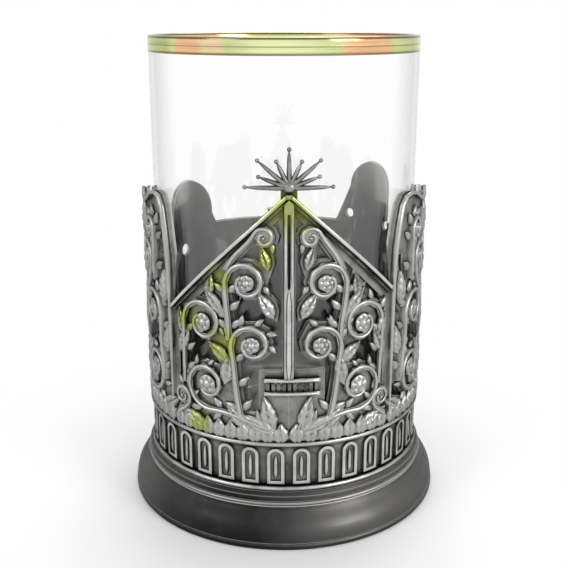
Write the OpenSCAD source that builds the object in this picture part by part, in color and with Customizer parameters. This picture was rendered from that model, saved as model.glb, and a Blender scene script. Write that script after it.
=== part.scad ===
// A metal holder with a pierced wall, a foot and a handle, and the tea glass that stands in it.
// The frame: Z up from the plane the foot stands on, the axis through the origin, the front at -Y.
// Angles round the wall are counted from the front, to the right as it is seen from there.

/* [Tea glass] */
// Outside diameter of the straight glass
glass_d = 68; // [64:0.5:72]
// Height of the glass
glass_h = 107.3; // [98:0.5:115]
// Thickness of the glass wall
glass_wall = 1.2; // [0.9:0.1:2]
// Thickness of the glass bottom
glass_base = 4; // [3:0.5:6]
// Radius between the glass wall and its bottom, outside
glass_heel_r = 4; // [2.5:0.5:6]
// Depth of the hollow under the glass
glass_punt = 0.8; // [0.4:0.1:1.5]
// Height of the gilded band at the lip
gilt_h = 4; // [2:0.5:7]
// How far the gilding stands proud of the glass
gilt_t = 0.05; // [0.02:0.01:0.2]

/* [Holder] */
// Thickness of the sheet that the wall, the band and the foot are made of
sheet_t = 1.2; // [0.9:0.1:1.6]
// Running gap between the glass and the wall
glass_gap = 0.6; // [0.4:0.1:1]
// Gap between the glass bottom and the floor it stands on
standing_gap = 0.05; // [0.02:0.01:0.2]
// Height of the relief over the sheet
relief_t = 0.9; // [0.5:0.1:1.2]
// How far the rails, the post and the straps stand over the sheet
rail_t = 1.5; // [1.2:0.1:2]

/* [Foot] */
// Largest diameter of the foot
foot_d = 84; // [80:0.5:90]
// Diameter of the foot at its neck, under the band
foot_neck_d = 75.6; // [75:0.1:78]
// Height of the foot up to the band
foot_h = 13.4; // [11:0.1:17]
// Height of the rolled edge that the foot stands on
edge_h = 1.7; // [1.2:0.1:2.5]
// Width of the rolled edge
edge_w = 1.9; // [1.4:0.1:2.6]
// Thickness of the floor under the glass
floor_t = 1.2; // [1:0.1:2]

/* [Band] */
// Height of the band with its two beads
band_h = 13.3; // [11:0.1:16]
// Height of each bead
bead_h = 1.3; // [0.9:0.1:1.6]
// Number of upright flutes round the band
flute_count = 36; // [24:2:44]
// Width of one flute
flute_w = 4.2; // [3:0.1:4.4]
// Depth of the hollow in a flute
flute_depth = 0.5; // [0.2:0.1:0.7]

/* [Wall outline] */
// Height of the gable's apex over the band
apex_h = 60.8; // [57:0.2:64]
// Angle of the left rail's lower end
left_eave_a = 50.5; // [46:0.5:53]
// Height of the left rail's lower end over the band
left_eave_h = 31.8; // [27:0.2:38]
// Angle of the right rail's lower end
right_eave_a = 43.5; // [42:0.5:52]
// Height of the right rail's lower end over the band
right_eave_h = 36.8; // [27:0.2:38]
// Height of the side crests over the band
crest_h = 58.5; // [55:0.5:62]
// Angle of the notch between a side crest and the back
notch_a = 113; // [110:0.5:114]
// Depth of that notch under the crests
notch_down = 16.2; // [13:0.1:19]
// Depth of the low stretch at the back under the crests
saddle_down = 18.2; // [16:0.1:20]
// Depth of the back's left lobe under the crests
left_lobe_down = 4.7; // [2:0.1:8]
// Height of the back's right lobe over the crests
right_lobe_up = 0.3; // [0.1:0.1:2]

/* [Gable] */
// Width of a rail and of the post
rail_w = 2.2; // [1.8:0.1:2.8]
// Height of the star's centre over the apex
star_h = 1.5; // [1:0.1:3]
// Length of the star's upright ray
star_ray = 9; // [7:0.1:11]
// Reach of the star's rays to each side
star_reach = 10.6; // [8:0.1:12]
// Thickness of the star
star_t = 1; // [0.8:0.1:1.4]

/* [Fence] */
// Left end of the fence, as an angle
fence_left_a = -9.1; // [-11:0.1:-7]
// Right end of the fence, as an angle
fence_right_a = 11.6; // [9:0.1:14]
// Height of the fence's lower edge over the band
fence_low_h = 12.4; // [10:0.1:13.5]
// Height of the fence
fence_h = 4.3; // [3.5:0.1:4.4]
// Number of bars in the fence
fence_bars = 10; // [8:1:12]

/* [Handle] */
// How far the handle reaches out from the axis
handle_reach = 71; // [67:0.5:76]
// Width of the handle
handle_w = 7.5; // [6:0.1:9]
// Thickness of the handle in its middle
handle_t = 3; // [2.4:0.1:3.6]
// Depth of the handle's upper end under the low stretch at the back
handle_top_down = 9.5; // [8:0.1:12]
// Height of the handle's lower end over the foot
handle_low_h = 7.6; // [6.6:0.2:10]
// Width of the strap that carries the handle
strap_w = 10; // [8:0.5:12]

/* [Hidden] */

$fn = 96;
// Overrun of every cut
over = 1;
silver = [0.52, 0.52, 0.50];
dark_silver = [0.33, 0.33, 0.34];
gold = [0.86, 0.72, 0.38];
clear_glass = [0.90, 0.95, 0.95, 0.35];

// Radii of the wall, from the glass outwards
wall_r_in = glass_d / 2 + glass_gap;
wall_r = wall_r_in + sheet_t;
relief_r = wall_r + relief_t;
rail_r = wall_r + rail_t;

// Heights of the floor, the band and the openwork
floor_z = foot_h - floor_t / 2;
glass_z = floor_z + floor_t + standing_gap;
band_top_z = foot_h + band_h;
apex_z = band_top_z + apex_h;
left_eave_z = band_top_z + left_eave_h;
right_eave_z = band_top_z + right_eave_h;
crest_z = band_top_z + crest_h;
notch_z = crest_z - notch_down;
saddle_z = crest_z - saddle_down;
star_z = apex_z + star_h;
fence_z = band_top_z + fence_low_h;
handle_top_z = saddle_z - handle_top_down;
handle_low_z = foot_h + handle_low_h;

// One degree round the wall, as a length along it
arc_deg = wall_r * PI / 180;

// A point at angle a on a circle of radius r
function on_circle(r, a) = [r * cos(a), r * sin(a)];

// A row of n + 1 points along a cubic curve
function curve(p, n) = [for (i = [0:n]) let (t = i / n, s = 1 - t)
    s * s * s * p[0] + 3 * s * s * t * p[1] + 3 * s * t * t * p[2] + t * t * t * p[3]];

// The unit vector across a row of points at its point i
function across(row, i) = let (n = len(row) - 1,
    d = row[min(i + 1, n)] - row[max(i - 1, 0)]) [-d[1], d[0]] / norm(d);

// The outline of a ribbon along a row of points, with its width from w0 to w1
function ribbon(row, w0, w1) = let (n = len(row) - 1) concat(
    [for (i = [0:n]) row[i] + across(row, i) * (w0 + (w1 - w0) * i / n) / 2],
    [for (i = [n:-1:0]) row[i] - across(row, i) * (w0 + (w1 - w0) * i / n) / 2]);

// The centre line of a scroll: a stem from root, leaving at root_a, that meets the spiral round
// eye at start_a and winds in; turn is 1 anticlockwise and -1 clockwise
scroll_turns = 1.15;
scroll_inner_share = 0.34;
scroll_steps = 12;
stem_steps = 5;
stem_pull_share = 0.42;
function scroll_line(root, root_a, eye, r, start_a, turn) = let (
    first = eye + on_circle(r, start_a),
    pull = norm(first - root) * stem_pull_share,
    head = turn * [-sin(start_a), cos(start_a)])
    concat(curve([root, root + on_circle(pull, root_a), first - head * pull, first], stem_steps),
    [for (i = [1:scroll_steps]) let (t = i / scroll_steps)
        eye + on_circle(r * (1 - (1 - scroll_inner_share) * t),
            start_a + turn * 360 * scroll_turns * t)]);

// The outline of a pointed leaf of length l and width w, its stalk at p, pointing at angle a.
// The power puts its widest place nearer to the stalk.
leaf_steps = 5;
leaf_power = 0.75;
function leaf_half_w(w, t) = w / 2 * sin(180 * pow(t, leaf_power));
function leaf(p, a, l, w) = let (turned = function (x, y)
    p + [x * cos(a) - y * sin(a), x * sin(a) + y * cos(a)])
    concat([for (i = [0:leaf_steps]) let (t = i / leaf_steps) turned(l * t, leaf_half_w(w, t))],
    [for (i = [leaf_steps - 1:-1:1]) let (t = i / leaf_steps) turned(l * t, -leaf_half_w(w, t))]);

// A flat outline is drawn in arc length and height, and laid on the wall's chord plane here
function laid(row) = [for (p = row) [wall_r * sin(p[0] / arc_deg), p[1]]];
module laid_polygon(row) { polygon(laid(row)); }

// What is drawn in arc length round angle a, cut right through the wall there
module through_wall(a) {
    rotate([0, 0, a]) rotate([90, 0, 0]) linear_extrude(rail_r + over) children();
}
module through_back() { rotate([0, 0, 180]) rotate([90, 0, 0]) linear_extrude(foot_d) children(); }

// The part of a ring between two radii, two angles and two heights
module ring_sector(r0, r1, a0, a1, z0, z1) {
    rotate([0, 0, a0 - 90]) rotate_extrude(angle = a1 - a0)
        translate([r0, z0]) square([r1 - r0, z1 - z0]);
}

// A whole ring between two radii and two heights
module ring(r0, r1, z0, z1) {
    rotate_extrude() translate([r0, z0]) square([r1 - r0, z1 - z0]);
}

// Sizes of the ornament: the widths of a scroll's ribbon, the web of sheet round it, the
// narrowest gap that stays open, the fillets of the relief, the plain ground over the band
scroll_w = 1.6;
scroll_tip_w = 1.1;
web_w = 0.6;
slit_w = 3;
fillet_r = 0.4;
margin_w = 0.4;
ground_h = 3.4;

// One panel of the wall: the pierced sheet with the relief over it.
// The first child is the sheet's outline, the second the pierced places, the third the relief.
// A fourth is pierced right up to the web round the relief, also where the gap is narrow.
module panel(a0, a1, top_z) {
    mid = (a0 + a1) / 2;
    edge = (a1 - a0) / 2 * arc_deg - margin_w;
    intersection() {
        ring_sector(wall_r_in, wall_r, a0, a1, band_top_z, top_z);
        through_wall(mid) difference() {
            children(0);
            difference() {
                children(1);
                offset(delta = -slit_w / 2) offset(delta = web_w + slit_w / 2) children(2);
            }
            if ($children > 3) offset(delta = fillet_r) offset(delta = -fillet_r) difference() {
                children(3);
                offset(delta = web_w) children(2);
            }
        }
    }
    intersection() {
        ring_sector(wall_r - sheet_t / 2, relief_r, a0, a1, band_top_z, top_z);
        through_wall(mid) intersection() {
            offset(delta = -fillet_r) offset(delta = fillet_r) children(2);
            offset(delta = -margin_w) children(0);
            laid_polygon([[-edge, band_top_z + margin_w], [edge, band_top_z + margin_w],
                [edge, top_z], [-edge, top_z]]);
        }
    }
}

// Ornament tables. A scroll is [root, root angle, eye, radius, start angle, turn], a leaf is
// [stalk, angle, length, width], a pierced place is [centre, width, height]. Places are shares
// of the panel's width and of its height over the band, and other sizes shares of that height.
front_scroll_shares = [
    [[0.10, 0.05], 15, [0.65, 0.215], 0.105, -95, 1],
    [[0.87, 0.20], 88, [0.68, 0.475], 0.098, 0, 1],
    [[0.34, 0.06], 75, [0.27, 0.405], 0.085, -8, 1],
    [[0.445, 0.42], 88, [0.31, 0.655], 0.085, 0, 1],
    [[0.46, 0.70], 108, [0.17, 0.835], 0.040, 30, 1],
    [[0.98, 0.04], 120, [0.91, 0.135], 0.045, 200, -1]];
front_leaf_shares = [
    [[0.12, 0.03], 80, 0.17, 0.060], [[0.30, 0.05], 45, 0.13, 0.055], [[0.06, 0.03], 25, 0.19, 0.055],
    [[0.49, 0.23], 100, 0.14, 0.055], [[0.46, 0.33], 40, 0.11, 0.050], [[0.93, 0.33], 118, 0.13, 0.050],
    [[0.88, 0.40], 80, 0.12, 0.045], [[0.50, 0.52], 52, 0.13, 0.050], [[0.10, 0.52], 60, 0.12, 0.045],
    [[0.62, 0.59], 100, 0.09, 0.040], [[0.14, 0.71], 75, 0.10, 0.035], [[0.65, 0.03], 20, 0.16, 0.050]];
// The gap between the uppermost stem, the leaf beside it and the spiral below it
front_gap_shares = [[0.20, 0.735], [0.46, 0.712], [0.46, 0.753], [0.24, 0.852], [0.19, 0.835]];
side_scroll_shares = [
    [[0.02, 0.03], 20, [0.24, 0.20], 0.105, -95, 1],
    [[0.39, 0.17], 92, [0.22, 0.47], 0.100, -5, 1],
    [[0.02, 0.30], 80, [0.14, 0.70], 0.070, -20, 1],
    [[0.28, 0.62], 85, [0.22, 0.83], 0.050, 0, 1]];
side_leaf_shares = [
    [[0.00, 0.06], 90, 0.25, 0.085], [[0.00, 0.30], 90, 0.20, 0.070], [[0.00, 0.56], 90, 0.20, 0.070],
    [[0.03, 0.20], 50, 0.15, 0.050], [[0.38, 0.05], 30, 0.13, 0.050], [[0.42, 0.30], 78, 0.14, 0.050],
    [[0.40, 0.52], 85, 0.15, 0.045], [[0.06, 0.46], 48, 0.12, 0.045], [[0.02, 0.78], 58, 0.15, 0.050],
    [[0.00, 0.74], 90, 0.21, 0.060]];
// Up to this share of the height the side panels are pierced
side_open_share = 0.74;
back_scroll_shares = [
    [[0.02, 0.03], 20, [0.24, 0.20], 0.105, -95, 1],
    [[0.39, 0.17], 92, [0.24, 0.48], 0.105, -5, 1]];
back_leaf_shares = [
    [[0.00, 0.06], 90, 0.25, 0.085], [[0.00, 0.34], 90, 0.24, 0.075],
    [[0.03, 0.20], 50, 0.15, 0.050], [[0.38, 0.05], 30, 0.13, 0.050], [[0.05, 0.46], 60, 0.13, 0.045]];

back_end_scroll_shares = [
    [[0.42, 0.56], -70, [0.56, 0.36], 0.085, 100, -1],
    [[0.40, 0.10], 40, [0.60, 0.16], 0.075, 150, -1]];

// Width of sheet that stays whole beside a seam, the post and the rails
rim_w = 1.5;

// A place given by shares of w and h, from x0 on the side that side says
function placed(share, x0, w, h, side) = [x0 + side * share[0] * w, band_top_z + share[1] * h];
function mirrored(a, side) = side > 0 ? a : 180 - a;

eye_steps = 10;
module scrolls(rows, x0, w, h, side) {
    for (row = rows) {
        eye = placed(row[2], x0, w, h, side);
        r = row[3] * h;
        line = scroll_line(placed(row[0], x0, w, h, side), mirrored(row[1], side), eye, r,
            mirrored(row[4], side), side * row[5]);
        laid_polygon(ribbon(line, scroll_w, scroll_tip_w));
        laid_polygon([for (i = [0:eye_steps - 1])
            eye + on_circle(r * scroll_inner_share, 360 * i / eye_steps)]);
    }
}
module leaves(rows, x0, w, h, side) {
    for (row = rows)
        laid_polygon(leaf(placed(row[0], x0, w, h, side), mirrored(row[1], side),
            row[2] * h, row[3] * h));
}

// The border over the band: a row of pointed tongues across a panel of width w, a little wider
// than their spacing, with their stalks under its edge
tongue_pitch_w = 3.3;
tongue_wide_w = 3.9;
tongue_h = 6.6;
tongue_sunk_h = 1.8;
module tongues(w) {
    n = round(w / tongue_pitch_w);
    for (i = [1:n])
        laid_polygon(leaf([(2 * i - 1 - n) / n * w / 2, band_top_z - tongue_sunk_h], 90, tongue_h,
            tongue_wide_w));
}

// The front of the wall, one half on each side of the post
post_z = fence_z + fence_h;
finial_w = 1.9;
finial_z = star_z + finial_w;

// A strip along the gable from the post to the eave, between two depths under its edge
module under_gable(x0, w, eave_z, side, down0, down1) {
    x1 = x0 + side * w;
    past = side * over;
    laid_polygon([[x0 - past, apex_z - down0], [x0, apex_z - down0], [x1, eave_z - down0],
        [x1 + past, eave_z - down0], [x1 + past, eave_z - down1], [x1, eave_z - down1],
        [x0, apex_z - down1], [x0 - past, apex_z - down1]]);
}

module front_outline(x0, w, eave_z, side) {
    x1 = x0 + side * w;
    past = side * over;
    laid_polygon([[x0 - past, band_top_z - over], [x1 + past, band_top_z - over], [x1 + past, eave_z],
        [x1, eave_z], [x0, apex_z], [x0 - past, apex_z]]);
    laid_polygon([[x0 - past, apex_z - rail_w], [x0 + side * finial_w, apex_z - rail_w],
        [x0 + side * finial_w, star_z], [x0, finial_z], [x0 - past, finial_z]]);
}

// Where the front may be open: beside the post under the rail, further out down to the ground,
// and behind the bars of the fence
fence_end_w = 1.1;
module front_places(x0, w, eave_z, side, fence_a) {
    out_x = x0 + side * fence_a * arc_deg;
    rim = side * rim_w;
    end = side * fence_end_w;
    far_x = x0 + side * w - rim;
    laid_polygon([[x0 + rim, post_z + rim_w], [far_x, post_z + rim_w], [far_x, eave_z - rail_w - rim_w],
        [x0 + rim, apex_z - rail_w - 2 * rim_w]]);
    laid_polygon([[out_x + rim, band_top_z + ground_h], [far_x, band_top_z + ground_h],
        [far_x, post_z + 2 * rim_w], [out_x + rim, post_z + 2 * rim_w]]);
    laid_polygon([[x0 + end, fence_z + fence_end_w], [out_x - end, fence_z + fence_end_w],
        [out_x - end, post_z - fence_end_w], [x0 + end, post_z - fence_end_w]]);
}

module front_half(side, eave_a, eave_z, fence_a) {
    w = eave_a * arc_deg;
    x0 = -side * w / 2;
    fence_x = x0 + side * (fence_a * arc_deg + web_w);
    panel(min(0, side * eave_a), max(0, side * eave_a), finial_z) {
        front_outline(x0, w, eave_z, side);
        front_places(x0, w, eave_z, side, fence_a);
        difference() {
            union() {
                scrolls(front_scroll_shares, x0, w, apex_h, side);
                leaves(front_leaf_shares, x0, w, apex_h, side);
                tongues(w);
            }
            laid_polygon([[x0 - side * over, post_z - over], [x0 + side * rim_w, post_z - over],
                [x0 + side * rim_w, apex_z], [x0 - side * over, apex_z]]);
            laid_polygon([[x0 - side * over, fence_z - web_w], [fence_x, fence_z - web_w],
                [fence_x, post_z + web_w], [x0 - side * over, post_z + web_w]]);
            under_gable(x0, w, eave_z, side, -rail_w, rail_w + web_w);
        }
        laid_polygon([for (share = front_gap_shares) placed(share, x0, w, apex_h, side)]);
    }
}
module openwork_front_left() {
    color(silver) front_half(-1, left_eave_a, left_eave_z, -fence_left_a);
}
module openwork_front_right() {
    color(silver) front_half(1, right_eave_a, right_eave_z, fence_right_a);
}

// The sides: from the eave up to the crest and down to the notch. A row is [place from the
// front edge as a share of the width, rise towards the crest as a share].
side_edge_shares = [[0, 0], [0.015, 0.42], [0.04, 0.68], [0.065, 0.88], [0.105, 0.98], [0.17, 1],
    [0.25, 0.97], [0.32, 0.90], [0.40, 0.84], [0.50, 0.86], [0.60, 0.91], [0.68, 0.86], [0.77, 0.66],
    [0.88, 0.30], [1, 0]];
module side_outline(w, eave_z, side, beyond) {
    end = side * (w / 2 + beyond);
    laid_polygon(concat([[end, band_top_z - over], [-end, band_top_z - over], [-end, eave_z]],
        [for (p = side_edge_shares) let (low = eave_z + (notch_z - eave_z) * p[0])
            [side * (w * p[0] - w / 2), low + (crest_z - low) * p[1]]],
        [[end, notch_z]]));
}
module side_places(w, eave_z, side) {
    intersection() {
        offset(delta = -rim_w) side_outline(w, eave_z, side, 0);
        laid_polygon([for (x = [-w, w]) [x, band_top_z + ground_h],
            for (x = [w, -w]) [x, band_top_z + side_open_share * crest_h]]);
    }
}
module side_panel(side, eave_a, eave_z) {
    w = (notch_a - eave_a) * arc_deg;
    panel(min(side * eave_a, side * notch_a), max(side * eave_a, side * notch_a), crest_z + over) {
        side_outline(w, eave_z, side, over);
        side_places(w, eave_z, side);
        union() {
            for (half = [-1, 1]) {
                scrolls(side_scroll_shares, 0, w, crest_h, half);
                leaves(side_leaf_shares, 0, w, crest_h, half);
            }
            tongues(w);
        }
    }
}
module openwork_left() { color(silver) side_panel(-1, left_eave_a, left_eave_z); }
module openwork_right() { color(silver) side_panel(1, right_eave_a, right_eave_z); }

// The back: a low stretch with one round lobe on each side. It is closed but for small
// pierced places, [angle, height over the band and radius as shares of the crest's height],
// first those on the left.
back_hole_shares = [[[123.8, 0.585, 0.030], [121, 0.36, 0.022], [139, 0.14, 0.022], [150, 0.50, 0.026],
    [157, 0.26, 0.022], [165, 0.56, 0.026]],
    [[119.1, 0.708, 0.022], [142.8, 0.735, 0.024], [121, 0.36, 0.022], [139, 0.14, 0.022],
    [155.8, 0.545, 0.030], [157, 0.26, 0.022], [164.3, 0.585, 0.030]]];
back_lobe_a = [128, 130.5];
back_lobe_half_a = [14.5, 12];
lobe_steps = 12;
// Width of the slope at the foot of a lobe, on the side of the seam, on the left and the right,
// and its rise as a share of that width
back_flare_w = [1.5, 5];
flare_rise_share = 2.2;
module back_outline(w, side, lobe_a, lobe_half_a, lobe_z, flare_w, beyond) {
    lobe_x = side * (lobe_a - (notch_a + 180) / 2) * arc_deg;
    lobe_r = lobe_half_a * arc_deg;
    foot_x = lobe_x + side * lobe_r;
    end = side * (w / 2 + beyond);
    laid_polygon([[-end, band_top_z - over], [end, band_top_z - over], [end, saddle_z],
        [foot_x, saddle_z], [lobe_x - side * lobe_r, notch_z], [-end, notch_z]]);
    laid_polygon(concat([[lobe_x - lobe_r, saddle_z - lobe_r], [lobe_x + lobe_r, saddle_z - lobe_r]],
        [for (i = [0:lobe_steps]) [lobe_x, lobe_z - lobe_r] + on_circle(lobe_r, 180 * i / lobe_steps)]));
    laid_polygon([[foot_x - side * over, saddle_z - over], [foot_x + side * flare_w, saddle_z - over],
        [foot_x + side * flare_w, saddle_z], [foot_x, saddle_z + flare_w * flare_rise_share],
        [foot_x - side * over, saddle_z + flare_w * flare_rise_share]]);
}
module back_panel(side, holes, lobe_a, lobe_half_a, lobe_z, flare_w) {
    w = (180 - notch_a) * arc_deg;
    lobe_x = side * (lobe_a - (notch_a + 180) / 2) * arc_deg;
    panel(min(side * notch_a, side * 180), max(side * notch_a, side * 180), lobe_z + over) {
        back_outline(w, side, lobe_a, lobe_half_a, lobe_z, flare_w, over);
        for (row = holes)
            laid_polygon([for (i = [0:eye_steps - 1])
                [side * (row[0] - (notch_a + 180) / 2) * arc_deg, band_top_z + row[1] * crest_h]
                + on_circle(row[2] * crest_h, 360 * i / eye_steps)]);
        difference() {
            union() {
                for (half = [-1, 1]) {
                    scrolls(back_scroll_shares, lobe_x, w, crest_h, half);
                    leaves(back_leaf_shares, lobe_x, w, crest_h, half);
                }
                scrolls(back_end_scroll_shares, lobe_x, w, crest_h, side);
                tongues(w);
            }
            laid_polygon([for (x = [w / 2 + over, w / 2 - strap_w / 2 - web_w]) [side * x, band_top_z - over],
                for (x = [w / 2 - strap_w / 2 - web_w, w / 2 + over]) [side * x, saddle_z + over]]);
        }
    }
}
module openwork_back_left() {
    color(silver) back_panel(-1, back_hole_shares[0], back_lobe_a[0], back_lobe_half_a[0],
        crest_z - left_lobe_down, back_flare_w[0]);
}
module openwork_back_right() {
    color(silver) back_panel(1, back_hole_shares[1], back_lobe_a[1], back_lobe_half_a[1],
        crest_z + right_lobe_up, back_flare_w[1]);
}

// The strap over the seam at the back, which the handle's brackets are fixed to
module strap_block(r0, r1, z0, z1, w) {
    intersection() {
        ring_sector(r0, r1, 90, 270, z0, z1);
        through_back() translate([-w / 2, z0]) square([w, z1 - z0]);
    }
}
module back_strap() {
    color(silver) strap_block(wall_r, rail_r, foot_h, saddle_z - web_w, strap_w);
}

// The post in the middle of the gable, with a point that the rails meet over and a groove up
// its face
groove_w = 0.6;
groove_depth = 0.5;
module post_block(r1) {
    tip_z = apex_z - rail_w / 2;
    intersection() {
        ring_sector(wall_r, r1, -90, 90, post_z, apex_z);
        through_wall(0) polygon([[-rail_w / 2, post_z - over], [rail_w / 2, post_z - over],
            [rail_w / 2, tip_z - rail_w / 2], [0, tip_z], [-rail_w / 2, tip_z - rail_w / 2]]);
    }
}
module centre_post() {
    color(silver) difference() {
        post_block(rail_r);
        intersection() {
            ring_sector(rail_r - groove_depth, rail_r + over, -90, 90, (post_z + apex_z) / 2,
                apex_z - 2 * rail_w);
            through_wall(0) translate([-groove_w / 2, post_z]) square([groove_w, apex_z - post_z]);
        }
    }
}

// The two rails of the gable, stepped so that the upper edge stands proud
rail_lip_w = 0.9;
rail_lip_t = 0.5;
module gable_rail(side, eave_a, eave_z) {
    w = eave_a * arc_deg;
    x0 = -side * w / 2;
    a0 = min(0, side * eave_a);
    a1 = max(0, side * eave_a);
    low_z = eave_z - rail_w - over;
    difference() {
        intersection() {
            ring_sector(wall_r, rail_r, a0, a1, low_z, apex_z + over);
            through_wall(side * eave_a / 2) under_gable(x0, w, eave_z, side, 0, rail_w);
        }
        intersection() {
            ring_sector(rail_r - rail_lip_t, rail_r + over, a0 - over / arc_deg, a1 + over / arc_deg,
                low_z, apex_z + over);
            through_wall(side * eave_a / 2)
                under_gable(x0, w, eave_z, side, rail_lip_w, rail_w + over);
        }
        post_block(rail_r + over);
    }
}
module gable_rail_left() { color(silver) gable_rail(-1, left_eave_a, left_eave_z); }
module gable_rail_right() { color(silver) gable_rail(1, right_eave_a, right_eave_z); }

// The star of pointed rays over the apex, every second ray a short one
star_rays = 9;
short_ray_share = 0.74;
spike_w = 1;
ray_tip_w = 0.32;
ray_root_share = 0.2;
star_hub_r = 1.3;
module star_outline() {
    for (i = [0:star_rays - 1]) {
        a = 180 * i / (star_rays - 1);
        reach = i % 2 == 0 ? 1 : short_ray_share;
        tip = [star_reach * cos(a), star_ray * sin(a)] * reach;
        out = tip / norm(tip);
        wide = [-out[1], out[0]] / 2;
        root = tip * ray_root_share;
        translate([0, star_z]) polygon([-wide * spike_w / 2, root - wide * spike_w, tip - wide * ray_tip_w,
            tip + wide * ray_tip_w, root + wide * spike_w, wide * spike_w / 2]);
    }
    translate([0, star_z]) circle(star_hub_r);
}
module gable_front(side, eave_a, eave_z) {
    w = eave_a * arc_deg;
    intersection() {
        ring_sector(wall_r - over, rail_r + over, min(0, side * eave_a), max(0, side * eave_a),
            eave_z, apex_z);
        through_wall(side * eave_a / 2) under_gable(-side * w / 2, w, eave_z, side, 0, rail_w);
    }
}
module starburst() {
    color(silver) difference() {
        intersection() {
            ring(wall_r, wall_r + star_t, star_z - star_hub_r - over, star_z + star_ray + over);
            through_wall(0) star_outline();
        }
        gable_front(-1, left_eave_a, left_eave_z);
        gable_front(1, right_eave_a, right_eave_z);
        post_block(rail_r + over);
    }
}

// The little fence at the foot of the post
fence_rail_h = 0.9;
fence_bar_w = 0.75;
fence_bar_t = 1.1;
module balustrade() {
    mid = (fence_left_a + fence_right_a) / 2;
    w = (fence_right_a - fence_left_a) * arc_deg;
    color(silver) {
        ring_sector(wall_r, rail_r, fence_left_a, fence_right_a, fence_z, fence_z + fence_rail_h);
        ring_sector(wall_r, rail_r, fence_left_a, fence_right_a, post_z - fence_rail_h, post_z);
        intersection() {
            ring_sector(wall_r, wall_r + fence_bar_t, fence_left_a, fence_right_a,
                fence_z + fence_rail_h / 2, post_z - fence_rail_h / 2);
            through_wall(mid) for (i = [0:fence_bars - 1])
                translate([(2 * i + 1 - fence_bars) / fence_bars * w / 2 - fence_bar_w / 2, fence_z])
                    square([fence_bar_w, fence_h]);
        }
    }
}

// The band under the openwork: a ring with upright flutes, round at the top and hollow
flute_margin = 0.6;
flute_rim = 0.75;
flute_out = 0.7;
module flute_shape(inset) {
    r = flute_w / 2 - inset;
    low = foot_h + bead_h + flute_margin + inset;
    high = band_top_z - bead_h - flute_margin - flute_w / 2;
    translate([-r, low]) square([2 * r, high - low]);
    translate([0, high]) circle(r);
}
function flute_seen(a) = abs(a - 180) > (strap_w / 2 + flute_w / 2 + flute_margin) / arc_deg;
module frieze_band() {
    step_a = 360 / flute_count;
    hollow_r = wall_r + flute_out - flute_depth;
    color(silver) {
        ring(wall_r_in, wall_r, foot_h, band_top_z);
        for (i = [1:flute_count]) {
            a = (2 * i - 1) * step_a / 2;
            if (flute_seen(a)) intersection() {
                difference() {
                    ring_sector(wall_r - sheet_t / 2, wall_r + flute_out, a - step_a, a + step_a,
                        foot_h, band_top_z);
                    intersection() {
                        ring_sector(hollow_r, rail_r + over, a - step_a, a + step_a, foot_h, band_top_z);
                        through_wall(a) flute_shape(flute_rim);
                    }
                }
                through_wall(a) flute_shape(0);
            }
        }
    }
}
module bead(z) {
    half_a = strap_w / 2 / arc_deg;
    r = bead_h / 2;
    color(silver) difference() {
        rotate([0, 0, 90 + half_a]) rotate_extrude(angle = 360 - 2 * half_a) {
            translate([wall_r, z]) square([r, bead_h]);
            translate([wall_r + r, z + r]) circle(r);
        }
        strap_block(wall_r, rail_r + over, foot_h - over, band_top_z + over, strap_w);
    }
}
module frieze_lower_bead() { bead(foot_h); }
module frieze_upper_bead() { bead(band_top_z - bead_h); }

// The foot: a skirt of sheet that turns in at its neck to carry the band and the floor
foot_r = foot_d / 2;
neck_r = foot_neck_d / 2;
flange_w = 3.2;
foot_steps = 14;
shoulder_h = 2.8;
shoulder_bead_r = 0.45;
shoulder_bead_in = 0.1;
flare_h = 0.9;
skirt_in = 0.2;
skirt_out = 0.4;
skirt_full_share = 0.6;
skirt_turn_share = 0.66;
skirt_r = foot_r - skirt_in;
skirt_h = foot_h - edge_h - shoulder_h;
skirt_line = curve([[skirt_r, edge_h], [skirt_r, edge_h + skirt_h * skirt_full_share],
    [neck_r + skirt_out, edge_h + skirt_h * skirt_turn_share], [neck_r, edge_h + skirt_h]], foot_steps);
module foot_shell() {
    under_z = floor_z - sheet_t;
    color(dark_silver) rotate_extrude() {
        polygon(concat(skirt_line, [[neck_r, foot_h - flare_h], [wall_r + bead_h, foot_h],
            [wall_r_in, foot_h], [wall_r_in, floor_z], [wall_r_in - flange_w, floor_z],
            [wall_r_in - flange_w, under_z], [neck_r - sheet_t, under_z]],
            [for (i = [foot_steps:-1:0]) skirt_line[i] - [sheet_t, 0]]));
        translate([neck_r - shoulder_bead_in, foot_h - shoulder_h]) circle(shoulder_bead_r);
    }
}

// The rolled edge that the foot stands on, flat underneath
edge_round = 0.6;
module foot_edge_ring() {
    color(silver) rotate_extrude() {
        translate([foot_r - edge_w, 0]) square([edge_w - edge_round, edge_h]);
        translate([foot_r - edge_w, edge_round]) square([edge_w, edge_h - 2 * edge_round]);
        translate([foot_r - edge_round, edge_round]) circle(edge_round);
        translate([foot_r - edge_round, edge_h - edge_round]) circle(edge_round);
    }
}

// The floor that the glass stands on, pressed down a little in its middle
dish_r = 20;
dish_depth = 0.5;
module floor_disc() {
    color(silver) rotate_extrude() polygon([[0, floor_z - dish_depth], [dish_r, floor_z - dish_depth],
        [dish_r + sheet_t, floor_z], [wall_r_in, floor_z], [wall_r_in, floor_z + floor_t],
        [dish_r + sheet_t, floor_z + floor_t], [dish_r, floor_z + floor_t - dish_depth],
        [0, floor_z + floor_t - dish_depth]]);
}

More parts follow.
